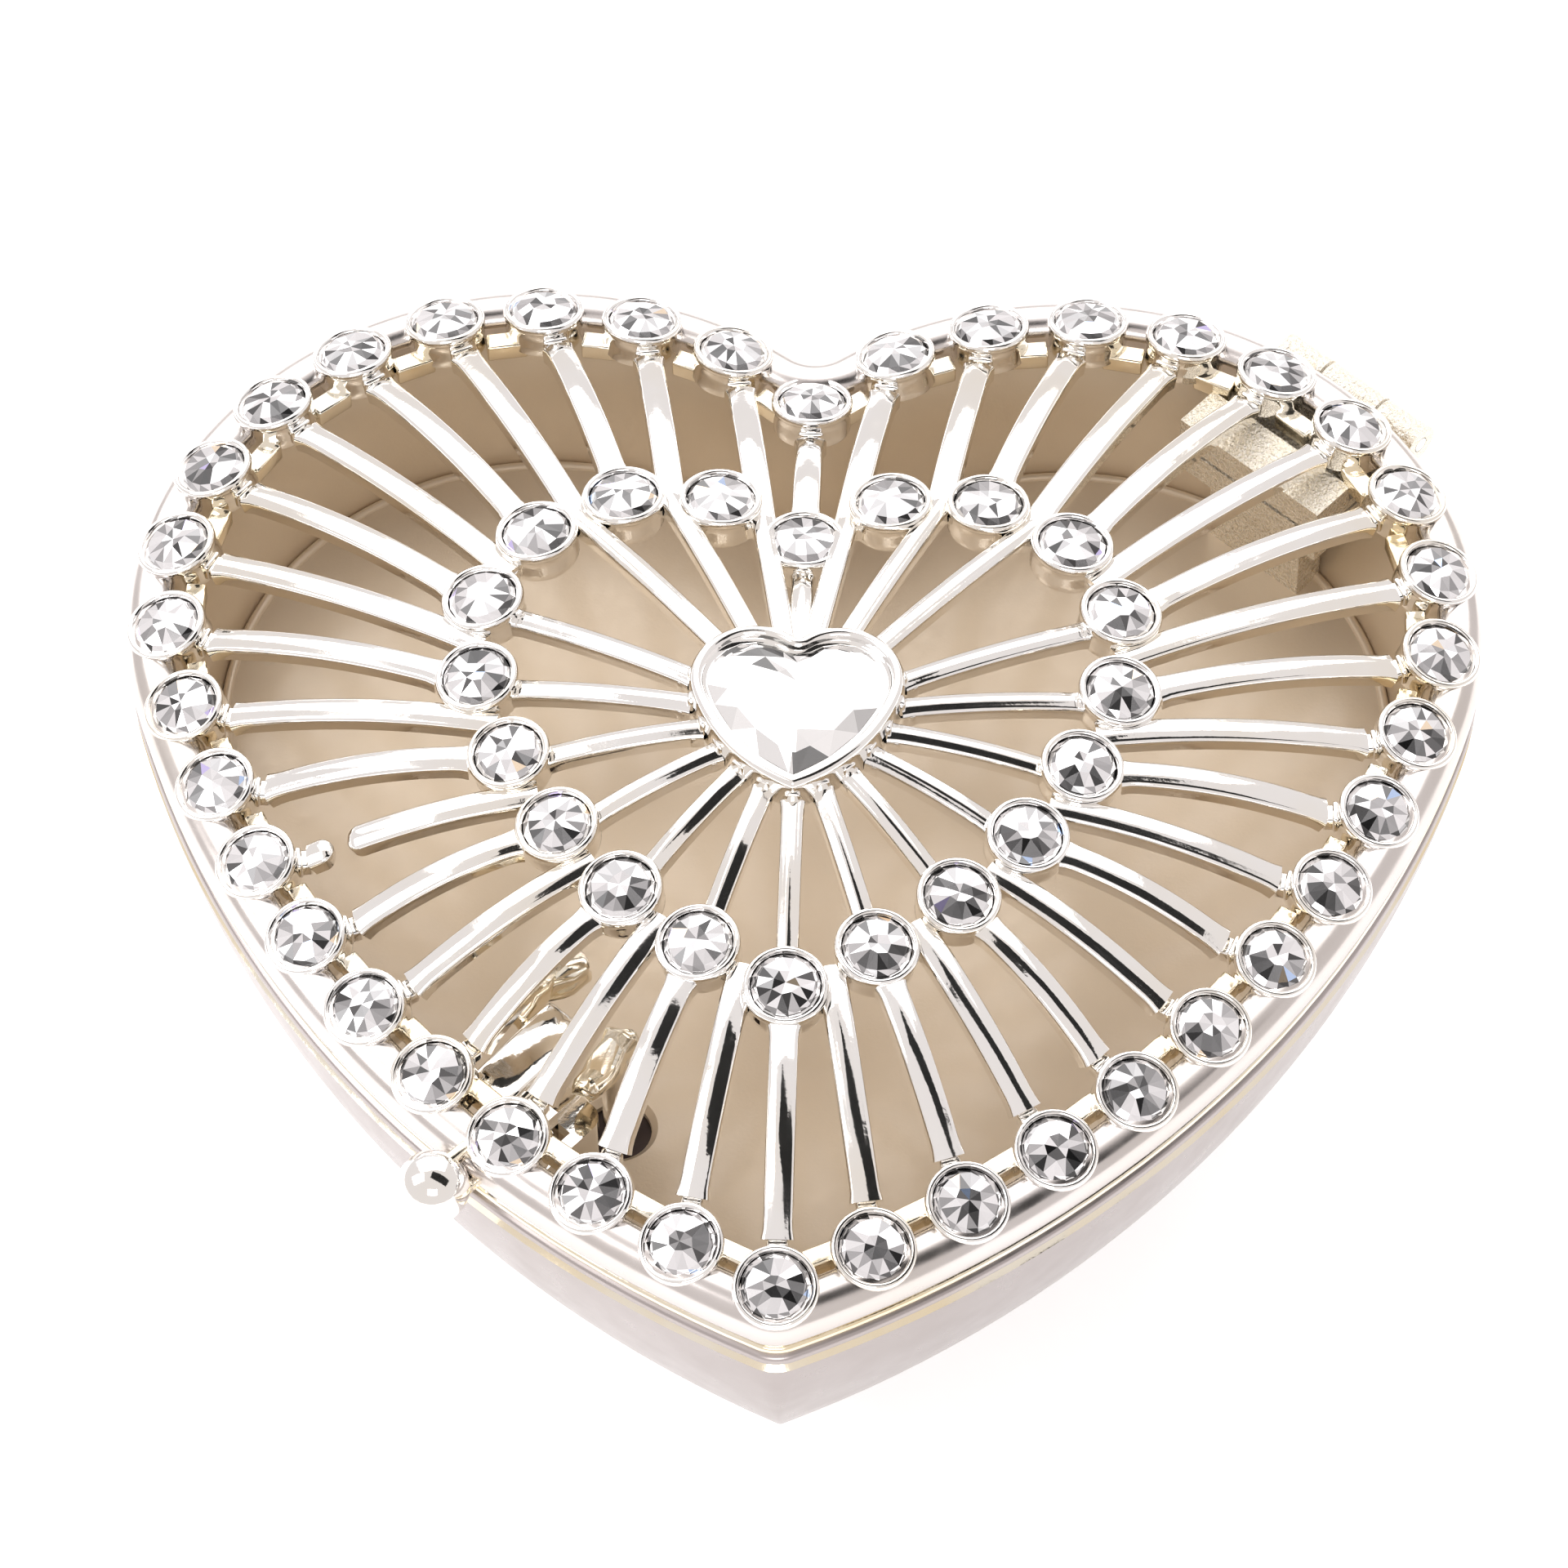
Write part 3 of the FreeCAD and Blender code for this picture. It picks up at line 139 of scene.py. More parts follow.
def swept(heart, profile, closed=True):
    """Vertices and faces of a wall whose section is a list of (inset, z), swept round a heart."""
    rings = [[Vector((p.x, p.y, z)) for p in heart.loop(inset)] for inset, z in profile]
    count = len(rings[0])
    verts = [vert for ring in rings for vert in ring]
    faces = []
    for level in range(len(rings) if closed else len(rings) - 1):
        low = level * count
        high = (level + 1) % len(rings) * count
        for side in range(count):
            next_side = (side + 1) % count
            faces.append((low + side, low + next_side, high + next_side, high + side))
    return verts, faces


def arc(inset, z, radius, start, end, steps):
    """Points of a round in a section; 0 degrees points outward and 90 up."""
    points = []
    for step in range(steps + 1):
        angle = math.radians(start + (end - start) * step / steps)
        points.append((inset - radius * math.cos(angle), z + radius * math.sin(angle)))
    return points


class Wire:
    """A shader socket that can stand in an expression; each operator adds its Math node."""

    def __init__(self, paint, socket):
        self.paint = paint
        self.socket = socket

    def _math(self, operation, first, second):
        return self.paint.node("ShaderNodeMath", {"operation": operation}, {0: first, 1: second})

    def __add__(self, other):
        return self._math("ADD", self, other)

    def __sub__(self, other):
        return self._math("SUBTRACT", self, other)

    def __rsub__(self, other):
        return self._math("SUBTRACT", other, self)

    def __mul__(self, other):
        return self._math("MULTIPLY", self, other)

    def __pow__(self, other):
        return self._math("POWER", self, other)

    __radd__ = __add__
    __rmul__ = __mul__


class Paint:
    """A material built round one Principled surface."""

    def __init__(self, name, **surface):
        self.material = bpy.data.materials.new(name)
        self.material.use_nodes = True
        self.tree = self.material.node_tree
        self.surface = self.tree.nodes["Principled BSDF"]
        for socket, value in surface.items():
            self.surface.inputs[socket.replace("_", " ")].default_value = value

    def node(self, kind, settings=None, inputs=None, output=0):
        made = self.tree.nodes.new(kind)
        for name, value in (settings or {}).items():
            if name == "stops":
                ramp = made.color_ramp
                while len(ramp.elements) < len(value):
                    ramp.elements.new(0.5)
                for element, (place, colour) in zip(ramp.elements, value):
                    element.position = place
                    element.color = colour
            else:
                setattr(made, name, value)
        for name, value in (inputs or {}).items():
            self.join(value, made.inputs[name])
        return Wire(self, made.outputs[output])

    def join(self, value, socket):
        if isinstance(value, Wire):
            self.tree.links.new(value.socket, socket)
        else:
            socket.default_value = value

    def feed(self, name, value):
        self.join(value, self.surface.inputs[name])

    def place(self):
        """Coordinates fixed to the piece, in metres."""
        return self.node("ShaderNodeTexCoord", output="Object")

    def noise(self, scale, detail=2.0, place=None):
        return self.node("ShaderNodeTexNoise", {}, {
            "Vector": place or self.place(), "Scale": scale, "Detail": detail}, output="Fac")

    def ramp(self, value, stops):
        """Grey or coloured stops along a value."""
        return self.node("ShaderNodeValToRGB", {"stops": stops}, {"Fac": value})

    def blend(self, share, first, second):
        """A colour between two others."""
        return self.node("ShaderNodeMix", {"data_type": "RGBA"}, {0: share, 6: first, 7: second}, output=2)

    def range(self, value, low, high, to_low, to_high):
        return self.node("ShaderNodeMapRange", {}, {
            0: value, 1: low, 2: high, 3: to_low, 4: to_high})

    def bump(self, height, strength, distance):
        return self.node("ShaderNodeBump", {}, {
            "Height": height, "Strength": strength, "Distance": distance})


def silver(name, colour, shade, low_rough, high_rough, wave):
    """Plated and polished casting: soft waves from hand polishing, fine wear and a little tarnish."""
    paint = Paint(name, Metallic=1.0)
    tarnish = paint.range(paint.noise(90, 4.0), 0.45, 0.75, 0.0, 1.0)
    paint.feed("Base Color", paint.blend(tarnish, colour, shade))
    smear = paint.range(paint.noise(420, 5.0), 0.3, 0.7, low_rough, high_rough)
    paint.feed("Roughness", smear)
    ripple = paint.noise(260, 1.0) + paint.noise(2600, 2.0) * 0.05
    paint.feed("Normal", paint.bump(ripple, wave, 0.00035))
    return paint.material


plate_bright = silver("silver_plate", (0.95, 0.935, 0.915, 1), (0.92, 0.87, 0.78, 1), 0.04, 0.11, 0.28)
# The bowl's outer wall: a satin copy of the plate with its colour darkened to a pinkish grey, painted shade.
plate_satin_painted_shade = silver("silver_wall_painted_shade", (0.47, 0.425, 0.415, 1), (0.43, 0.385, 0.37, 1), 0.26, 0.36, 0.015)
# The rim band: a copy of the plate with its colour darkened to a light grey, painted shade.
plate_rim_painted_shade = silver("silver_rim_painted_shade", (0.70, 0.655, 0.635, 1), (0.67, 0.62, 0.58, 1), 0.18, 0.28, 0.05)
# A gold-tinted copy of the plate for the groove and bead lines, the bars between the cups, the rough castings
# and the claw.
plate_gold_tint = silver("silver_gold_tint", (0.93, 0.87, 0.74, 1), (0.90, 0.74, 0.46, 1), 0.10, 0.20, 0.6)


def champagne(name, colour, shade, rough):
    """The inside: a champagne lacquer over satin plate, with faint rolling marks and clouding."""
    paint = Paint(name, Metallic=0.25, Coat_Roughness=0.12)
    cloud = paint.range(paint.noise(60, 3.0), 0.35, 0.7, 0.0, 1.0)
    paint.feed("Base Color", paint.blend(cloud, colour, shade))
    paint.feed("Roughness", paint.range(paint.noise(900, 3.0), 0.3, 0.7, rough, rough + 0.1))
    paint.feed("Coat Weight", 0.5)
    paint.feed("Normal", paint.bump(paint.noise(5000, 2.0), 0.08, 0.0001))
    return paint.material


tray_paint = champagne("tray_lacquer", (0.84, 0.70, 0.53, 1), (0.79, 0.65, 0.48, 1), 0.30)
wall_paint = champagne("inside_lacquer", (0.86, 0.71, 0.52, 1), (0.80, 0.645, 0.455, 1), 0.30)

RIM = Heart(16.9 * MM, 13.7 * MM, 26.1 * MM, -17.4, 74.4 * MM, 2.2 * MM, 3.0 * MM)
BASE_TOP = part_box("base_shell")[1].z
WALL = 1.6 * MM
FOOT_IN = 17.8 * MM
WALL_BOW = 0.856
TRAY_IN = 5.2 * MM


def wall_inset(z):
    """How far the bowl's wall has drawn in below its top edge."""
    depth = 1 - z / BASE_TOP
    return FOOT_IN * depth * (1 - WALL_BOW + WALL_BOW * depth)


def bowl():
    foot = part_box("base_shell")[0].z
    tray_low, tray_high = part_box("tray_floor")
    ledge = tray_low.z - MM
    levels = [foot + (BASE_TOP - 1.7 * MM - foot) * step / 24 for step in range(25)]
    outside = [(wall_inset(z), z) for z in levels]
    groove = [(0.62 * MM, BASE_TOP - 1.36 * MM), (0.74 * MM, BASE_TOP - 1.20 * MM),
              (0.66 * MM, BASE_TOP - 1.04 * MM)]
    bead = arc(0.55 * MM, BASE_TOP - 0.62 * MM, 0.42 * MM, -62, 75, 9)
    lip = [(0.75 * MM, BASE_TOP), (WALL - 0.15 * MM, BASE_TOP), (WALL, BASE_TOP - 0.15 * MM)]
    inside = [(TRAY_IN, tray_high.z), (TRAY_IN, tray_low.z), (TRAY_IN + 1.4 * MM, tray_low.z),
              (TRAY_IN + 1.4 * MM, ledge)]
    under = [ledge - (ledge - foot) * step / 12 for step in range(13)]
    profile = outside + groove + bead + lip + inside + [(wall_inset(z) + WALL, z) for z in under]
    verts, faces = swept(RIM, profile)
    ring = len(RIM.loop(0))
    edges = [len(outside) - 1, len(outside + groove), len(outside + groove + bead + lip) - 1]
    edges = [edge * ring for edge in edges] + [(len(outside + groove + bead + lip) + 3) * ring]

    def pick(face):
        if edges[0] <= face.index < edges[1]:
            return 2
        return 1 if edges[2] <= face.index < edges[3] else 0

    # The outside takes the darker satin plate, painted shade.
    return new_piece("bowl", verts, faces, [plate_satin_painted_shade, wall_paint, plate_gold_tint], 40, pick)


bowl_piece = bowl()
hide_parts("base_shell")
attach(bowl_piece, "base")


# ---------------------------------------------------------------------------------------------
# Tray floor.  A heart stamped from thin lacquered sheet that drops onto the ledge inside the
# bowl.  It has a rolled edge and a countersunk hole for the stop pin.

frame["nodes"]["tray_floor"].data.materials.clear()
frame["nodes"]["tray_floor"].data.materials.append(tray_paint)


def tray_edge():
    low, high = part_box("tray_floor")
    profile = arc(TRAY_IN + 0.45 * MM, high.z, 0.3 * MM, 0, 180, 8)
    verts, faces = swept(RIM, profile, closed=False)
    return new_piece("tray_edge", verts, faces, [tray_paint], 60)


edge_piece = tray_edge()
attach(edge_piece, "base")


# ---------------------------------------------------------------------------------------------
# Crystals.  Each is a cut glass chaton with a foiled back: a flat table and a crown of kite and
# star facets.  Each facet's colour is a painted reflection, a mosaic of white, grey and dark wedges
# where the back's facets would show through.

def islands(node):
    """The separate solids of a CAD node, as lists of (area, normal, centre) of their faces."""
    data = bmesh.new()
    data.from_mesh(frame["nodes"][node].data)
    bmesh.ops.remove_doubles(data, verts=data.verts[:], dist=1e-7)
    left = set(data.faces)
    found = []
    while left:
        group = [left.pop()]
        for face in group:
            for edge in face.edges:
                for other in edge.link_faces:
                    if other in left:
                        left.remove(other)
                        group.append(other)
        found.append([(f.calc_area(), f.normal.copy(), f.calc_center_median()) for f in group])
    data.free()
    return found


def seats(node):
    """Where each stone sits: the middle of its table and its axis, clockwise from the cleft."""
    found = []
    for group in islands(node):
        flats = {}
        for area, normal, centre in group:
            key = tuple(round(value, 2) for value in normal)
            flats.setdefault(key, []).append((area, normal, centre))
        table = max(flats.values(), key=lambda faces: sum(face[0] for face in faces))
        total = sum(area for area, _, _ in table)
        middle = sum((centre * area for area, _, centre in table), Vector()) / total
        found.append((middle, table[0][1].normalized()))
    def turn(seat):
        angle = math.atan2(seat[0].x, seat[0].y)
        return angle if angle > -1e-3 else angle + 2 * math.pi
    return sorted(found, key=turn)


OUTER_SEATS = seats("outer_stones")
INNER_SEATS = seats("inner_stones")
STONE_RADIUS = 2.12 * MM
STONE_CROWN = 0.62 * MM


def facet_mesh(name, stones, material):
    """Flat-shaded facets with a painted reflection tone for each one; stones is a list of (verts, faces,
    shades).
    """
    verts, faces, shades = [], [], []
    for part_verts, part_faces, part_shades in stones:
        start = len(verts)
        verts += part_verts
        faces += [tuple(start + index for index in face) for face in part_faces]
        shades += part_shades
    mesh = bpy.data.meshes.new(name)
    mesh.from_pydata([tuple(vert) for vert in verts], [], faces)
    mesh.materials.append(material)
    # The facet layer holds each face's painted reflection tone.
    layer = mesh.color_attributes.new("facet", "FLOAT_COLOR", "CORNER")
    for face, shade in zip(mesh.polygons, shades):
        for corner in face.loop_indices:
            layer.data[corner].color = (*shade, 1.0)
    piece = bpy.data.objects.new(name, mesh)
    bpy.context.scene.collection.objects.link(piece)
    return piece


def facet_painted_reflection(draw, share):
    """A facet's painted reflection: mostly bright, some grey, a few dark, and now and then a painted spark of
    colour.
    """
    pick = draw.random()
    if pick < 0.018:
        return draw.choice([(0.70, 0.62, 1.0), (0.55, 0.70, 1.0), (1.0, 0.82, 0.62)])
    if pick < 0.20 * share:
        tone = draw.uniform(0.04, 0.18)
    elif pick < 0.52 * share:
        tone = draw.uniform(0.34, 0.62)
    else:
        tone = draw.uniform(0.80, 1.0)
    return (tone, tone * 0.985, tone * 1.0)


def chaton(seat, draw):
    """One round stone: table mosaic, star and kite facets, girdle, and a plain skirt below."""
    middle, axis = seat
    lean = Vector((0, 0, 1)).rotation_difference(axis).to_matrix()
    spin = draw.uniform(0, 2 * math.pi)
    rings = ((0.36, 8, 0.5, -0.02, 0.08), (0.83, 16, 0.0, -0.28, 0.03), (1.0, 16, 0.0, -0.62, 0.0),
             (1.0, 16, 0.0, -1.1, 0.0))
    local = [Vector((0, 0, -0.06 * MM))]
    for share, count, offset, height, stray in rings:
        for step in range(count):
            angle = spin + 2 * math.pi * (step + offset) / count
            radius = STONE_RADIUS * (share + draw.uniform(-stray, stray))
            lift = (height + draw.uniform(-stray, stray)) * MM
            local.append(Vector((radius * math.cos(angle), radius * math.sin(angle), lift)))
    table, star, girdle, skirt = 1, 9, 25, 41
    faces = []
    for step in range(8):
        after = (step + 1) % 8
        middle_point = star + (2 * step + 2) % 16
        faces.append((0, table + step, table + after))
        faces.append((table + step, star + 2 * step + 1, middle_point))
        faces.append((table + step, middle_point, table + after))
        faces.append((table + after, middle_point, star + (2 * step + 3) % 16))
    for step in range(16):
        after = (step + 1) % 16
        faces.append((star + step, girdle + step, girdle + after))
        faces.append((star + step, girdle + after, star + after))
        faces.append((girdle + step, skirt + step, skirt + after, girdle + after))
    verts = [middle + lean @ point for point in local]
    # Every facet gets a painted reflection tone from the draw.
    shades = [facet_painted_reflection(draw, 1.0) for _ in faces]
    return verts, faces, shades


def crystal_material():
    """Foiled glass: mirror-bright facets toned by the facet layer's painted reflections, under a clear polished
    coat.
    """
    paint = Paint("crystal", Roughness=0.04, Coat_Weight=0.6, Coat_Roughness=0.02, Metallic=0.8)
    tone = paint.node("ShaderNodeVertexColor", {"layer_name": "facet"})
    paint.feed("Base Color", tone)
    return paint.material


crystal = crystal_material()
stone_draw = random.Random(18)
for name, places in (("outer_stones", OUTER_SEATS), ("inner_stones", INNER_SEATS)):
    cut = facet_mesh(name + "_cut", [chaton(seat, stone_draw) for seat in places], crystal)
    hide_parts(name)
    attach(cut, "lid")


# ---------------------------------------------------------------------------------------------
# Rim band and cups.  The lid's rim is a convex band with a fine bead along the parting line.
# A cup for each crystal is cast into it, joined to its neighbours by a short bar on the inner
# side, and its lip is burnished over the stone.

LID_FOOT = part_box("lid_rim")[0].z


def band():
    z = LID_FOOT
    bead = arc(0.5 * MM, z + 0.3 * MM, 0.3 * MM, -80, 60, 7)
    crown = [(0.50, 0.62), (0.46, 0.74), (0.24, 0.92), (0.06, 1.3), (0.0, 1.8), (0.06, 2.35), (0.26, 2.8),
             (0.62, 3.15), (1.1, 3.38), (1.7, 3.45), (2.3, 3.36), (2.75, 3.1), (2.95, 2.7), (2.9, 2.3),
             (1.9, 2.0), (1.9, 0.1)]
    profile = bead + [(inset * MM, z + rise * MM) for inset, rise in crown]
    verts, faces = swept(RIM, profile)
    # Faces up to here, the bead and the rows next to it, take the gold-tinted plate.
    gold_tinted_faces = (len(bead) + 2) * len(RIM.loop(0))
    # The band takes the darker rim plate, painted shade.
    return new_piece("rim_band", verts, faces, [plate_rim_painted_shade, plate_gold_tint], 50,
                     lambda face: 1 if face.index < gold_tinted_faces else 0)


def lathe(profile, steps=40):
    """Vertices and faces of a turned shape from (radius, z), closed at the axis where it meets it."""
    verts = [Vector((radius * math.cos(2 * math.pi * step / steps),
                     radius * math.sin(2 * math.pi * step / steps), z))
             for radius, z in profile for step in range(steps)]
    faces = []
    for level in range(len(profile) - 1):
        for step in range(steps):
            after = (step + 1) % steps
            low, high = level * steps, (level + 1) * steps
            faces.append((low + step, low + after, high + after, high + step))
    return verts, faces


def gather(parts):
    """Several (verts, faces) as one."""
    verts, faces = [], []
    for part_verts, part_faces in parts:
        start = len(verts)
        verts += part_verts
        faces += [tuple(start + index for index in face) for face in part_faces]
    return verts, faces


def seated(shape, seat):
    """A shape made about z moved to a stone's seat."""
    middle, axis = seat
    lean = Vector((0, 0, 1)).rotation_difference(axis).to_matrix()
    verts, faces = shape
    return [middle + lean @ vert for vert in verts], faces


CUP_PROFILE = [(2.30, -2.60), (2.44, -2.55), (2.50, -2.42), (2.50, -2.00), (2.50, -1.45), (2.50, -1.02),
               (2.56, -0.92), (2.62, -0.84), (2.64, -0.68),
               (2.62, -0.52), (2.55, -0.38), (2.43, -0.31), (2.31, -0.33), (2.22, -0.42), (2.17, -0.56),
               (2.15, -0.80), (2.15, -1.25), (1.2, -1.9), (0.02, -2.0)]
cup_shape = lathe([(radius * MM, z * MM) for radius, z in CUP_PROFILE])


def rounded_blocks(blocks, bevel):
    """Bars with rounded edges; each is (centre, along, width, height, length) with z up."""
    data = bmesh.new()
    for centre, along, width, height, length in blocks:
        flat = Vector((along.x, along.y, 0)).normalized()
        turn = Matrix((flat, Vector((-flat.y, flat.x, 0)), Vector((0, 0, 1)))).transposed().to_4x4()
        size = Matrix.Diagonal((length, width, height, 1))
        bmesh.ops.create_cube(data, size=1, matrix=Matrix.Translation(centre) @ turn @ size)
    bmesh.ops.bevel(data, geom=data.edges[:], offset=bevel, segments=3, profile=0.5, affect="EDGES")
    verts = [vert.co.copy() for vert in data.verts]
    faces = [tuple(vert.index for vert in face.verts) for face in data.faces]
    data.free()
    return verts, faces


def bars(places, inward, drop, width, height):
    """A bar between every two neighbouring cups."""
    blocks = []
    for (first, _), (second, _) in zip(places, places[1:] + places[:1]):
        middle = (first + second) / 2
        along = second - first
        toward = Vector((-middle.x, -middle.y, 0)).normalized() * inward
        centre = middle + toward + Vector((0, 0, -drop))
        blocks.append((centre, along, width, height, Vector((along.x, along.y)).length - 3.9 * MM))
    return rounded_blocks(blocks, 0.16 * MM)


def rim_cups():
    parts = [seated(cup_shape, seat) for seat in OUTER_SEATS]
    cup_faces = len(cup_shape[1]) * len(OUTER_SEATS)
    parts.append(bars(OUTER_SEATS, 1.75 * MM, 1.9 * MM, 1.3 * MM, 1.3 * MM))
    verts, faces = gather(parts)
    return new_piece("rim_cups", verts, faces, [plate_bright, plate_gold_tint], 40,
                     lambda face: 0 if face.index < cup_faces else 1)


band_piece = band()
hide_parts("lid_rim")
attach(band_piece, "lid")
cups_piece = rim_cups()
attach(cups_piece, "lid")


# ---------------------------------------------------------------------------------------------
# Openwork dome.  Flat arched ribs run from every rim cup to the inner ring, and from that ring
# to the heart bezel.  They are cast with the lid, rounded along their edges by polishing, and
# one of them was cast with a gap.

RIB_WIDTH = 1.8 * MM
INNER_RIB_WIDTH = 1.42 * MM
RIB_THICKNESS = 1.1 * MM
BEZEL = RIM.scaled(0.155)
BEZEL_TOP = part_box("heart_stone")[1].z - 0.3 * MM
RIB_DROP = 1.1 * MM


def rib_section(width, swell):
    """Half-round-edged strip, a little crowned across its top, as (across, up) from its top."""
    half = width / 2
    edge = 0.30 * MM
    points = [(-half, -RIB_THICKNESS), (-half, -0.55 * MM)]
    for step in range(5):
        angle = math.radians(180 - 90 * step / 4)
        points.append((-half + edge + edge * math.cos(angle), -edge - 0.05 * MM + edge * math.sin(angle)))
    for step in range(1, 6):
        across = -half + edge + (width - 2 * edge) * step / 6
        lift = swell * (1 - (2 * across / (width - 2 * edge)) ** 2)
        points.append((across, -0.05 * MM + lift))
    points += [(-across, up) for across, up in reversed(points[:7])]
    return points


def rib(start, end, arch, width, steps=26, from_share=0.0, to_share=1.0, flare=0.0, tips=(False, False)):
    """A strip swept along an arch between two points of its top line; tips are rounded free ends."""
    flat = Vector((end.x - start.x, end.y - start.y, 0)).normalized()
    side = Vector((-flat.y, flat.x, 0))
    length = Vector((end.x - start.x, end.y - start.y)).length
    section = rib_section(width, 0.13 * MM)
    verts, faces = [], []
    for step in range(steps + 1):
        share = from_share + (to_share - from_share) * step / steps
        centre = start.lerp(end, share) + Vector((0, 0, 4 * arch * share * (1 - share)))
        slope = (end.z - start.z + 4 * arch * (1 - 2 * share)) / length
        tangent = (flat + Vector((0, 0, slope))).normalized()
        up = side.cross(-tangent) * -1 if side.cross(-tangent).z < 0 else side.cross(-tangent)
        near_end = min(share, 1 - share) * length
        grow = 1 + flare * max(0.0, 1 - near_end / (0.9 * MM)) ** 2
        deep = 1.0
        for is_tip, tip_share in zip(tips, (from_share, to_share)):
            if is_tip:
                far = 1 - min(1.0, abs(share - tip_share) * length / (0.8 * MM))
                deep = min(deep, math.sqrt(max(0.04, 1 - far**2)))
        middle_lift = -RIB_THICKNESS / 2
        verts += [centre + side * across * grow * deep + up * (middle_lift + (lift - middle_lift) * deep)
                  for across, lift in section]
    count = len(section)
    for step in range(steps):
        for index in range(count):
            after = (index + 1) % count
            low, high = step * count, (step + 1) * count
            faces.append((low + index, high + index, high + after, low + after))
    faces.append(tuple(range(count)))
    faces.append(tuple(reversed(range(steps * count, (steps + 1) * count))))
    return verts, faces


def ring_place(share):
    """Point on the inner ring, counted in inner stones clockwise; halves are gaps."""
    low = math.floor(share) % len(INNER_SEATS)
    high = math.ceil(share) % len(INNER_SEATS)
    return (INNER_SEATS[low][0] + INNER_SEATS[high][0]) / 2


def inner_share(step):
    return step / 2 if step < 2 else (step + 1) / 2


def step_toward(start, end, distance):
    flat = Vector((end.x - start.x, end.y - start.y, 0)).normalized()
    return start + flat * distance


def dome_ribs():
    """Ribs from the rim cups to the inner ring, each with a raised neck where it leaves its cup."""
    parts = []
    necks = []
    count = len(OUTER_SEATS)
    half = count // 2
    for index, (middle, _) in enumerate(OUTER_SEATS):
        step = index if index <= half else count - index
        share = inner_share(step)
        if index > half:
            share = len(INNER_SEATS) - share
        target = ring_place(share)
        on_stone = share == int(share)
        start = step_toward(middle, target, 3.35 * MM) + Vector((0, 0, -RIB_DROP + 0.85 * MM))
        end = step_toward(target, middle, 2.35 * MM if on_stone else -0.4 * MM)
        end = end + Vector((0, 0, -RIB_DROP + (0.1 if on_stone else 0.2) * MM))
        if index > half and step == 12:
            parts.append(rib(start, end, 0.85 * MM, RIB_WIDTH, 14, 0.0, 0.105, tips=(False, True)))
            parts.append(rib(start, end, 0.85 * MM, RIB_WIDTH, 76, 0.165, 1.0, 0.15, (True, False)))
        else:
            parts.append(rib(start, end, 0.85 * MM, RIB_WIDTH, flare=0.15))
        neck = step_toward(start, middle, 0.45 * MM) + Vector((0, 0, -0.85 * MM))
        necks.append((neck, end - start, 1.35 * MM, 1.0 * MM, 1.5 * MM))
        collar = step_toward(start, middle, 0.5 * MM) + Vector((0, 0, -0.75 * MM))
        necks.append((collar, end - start, 1.6 * MM, 1.25 * MM, 0.4 * MM))
    return parts + [rounded_blocks(necks, 0.18 * MM)]


def bezel_ribs():
    """Ribs from the inner ring to the bezel, each ending in a knee with a leg under its skirt."""
    parts = []
    knees = []
    for share in [0, 0.5, 1.5, 2.5] + list(range(4, 11)):
        for side in ((1,) if share in (0, 10) else (1, -1)):
            start_middle = ring_place(share if side > 0 else len(INNER_SEATS) - share)
            place = BEZEL.station(0.1 * MM, share / 10)
            end = Vector((place.x * side, place.y, BEZEL_TOP - 1.55 * MM))
            on_stone = share == int(share)
            start = step_toward(start_middle, end, 2.35 * MM if on_stone else -0.4 * MM)
            start = start + Vector((0, 0, -RIB_DROP + 0.2 * MM))
            parts.append(rib(start, end, 0.35 * MM, INNER_RIB_WIDTH, 18, flare=0.12))
            inward = (start - end).normalized()
            foot = end + inward * 0.5 * MM
            knees.append((foot + Vector((0, 0, -0.7 * MM)), inward, 1.5 * MM, 1.1 * MM, 0.8 * MM))
            knees.append((end + Vector((0, 0, 0.1 * MM)), inward, 0.95 * MM, 1.3 * MM, 0.5 * MM))
    return parts + [rounded_blocks(knees, 0.2 * MM)]


def dome():
    parts = dome_ribs() + bezel_ribs()
    parts += [seated(cup_shape, seat) for seat in INNER_SEATS]
    parts.append(bars(INNER_SEATS, 0.0, 1.75 * MM, 1.1 * MM, 1.1 * MM))
    verts, faces = gather(parts)
    return new_piece("dome_ribs", verts, faces, [plate_bright], 40)


def bezel():
    top = BEZEL_TOP
    profile = [(0.35, -2.6), (0.0, -2.45), (0.0, -0.66), (0.03, -0.42), (0.13, -0.18), (0.30, -0.03),
               (0.46, 0.0), (0.64, -0.05), (0.78, -0.20), (0.85, -0.42), (0.90, -0.50), (1.22, -0.58),
               (1.26, -2.2), (1.7, -2.4), (1.7, -2.6)]
    verts, faces = swept(BEZEL, [(inset * MM, top + rise * MM) for inset, rise in profile])
    return new_piece("heart_bezel", verts, faces, [plate_bright], 50)


dome_piece = dome()
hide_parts("lid_lattice")
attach(dome_piece, "lid")
bezel_piece = bezel()
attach(bezel_piece, "lid")
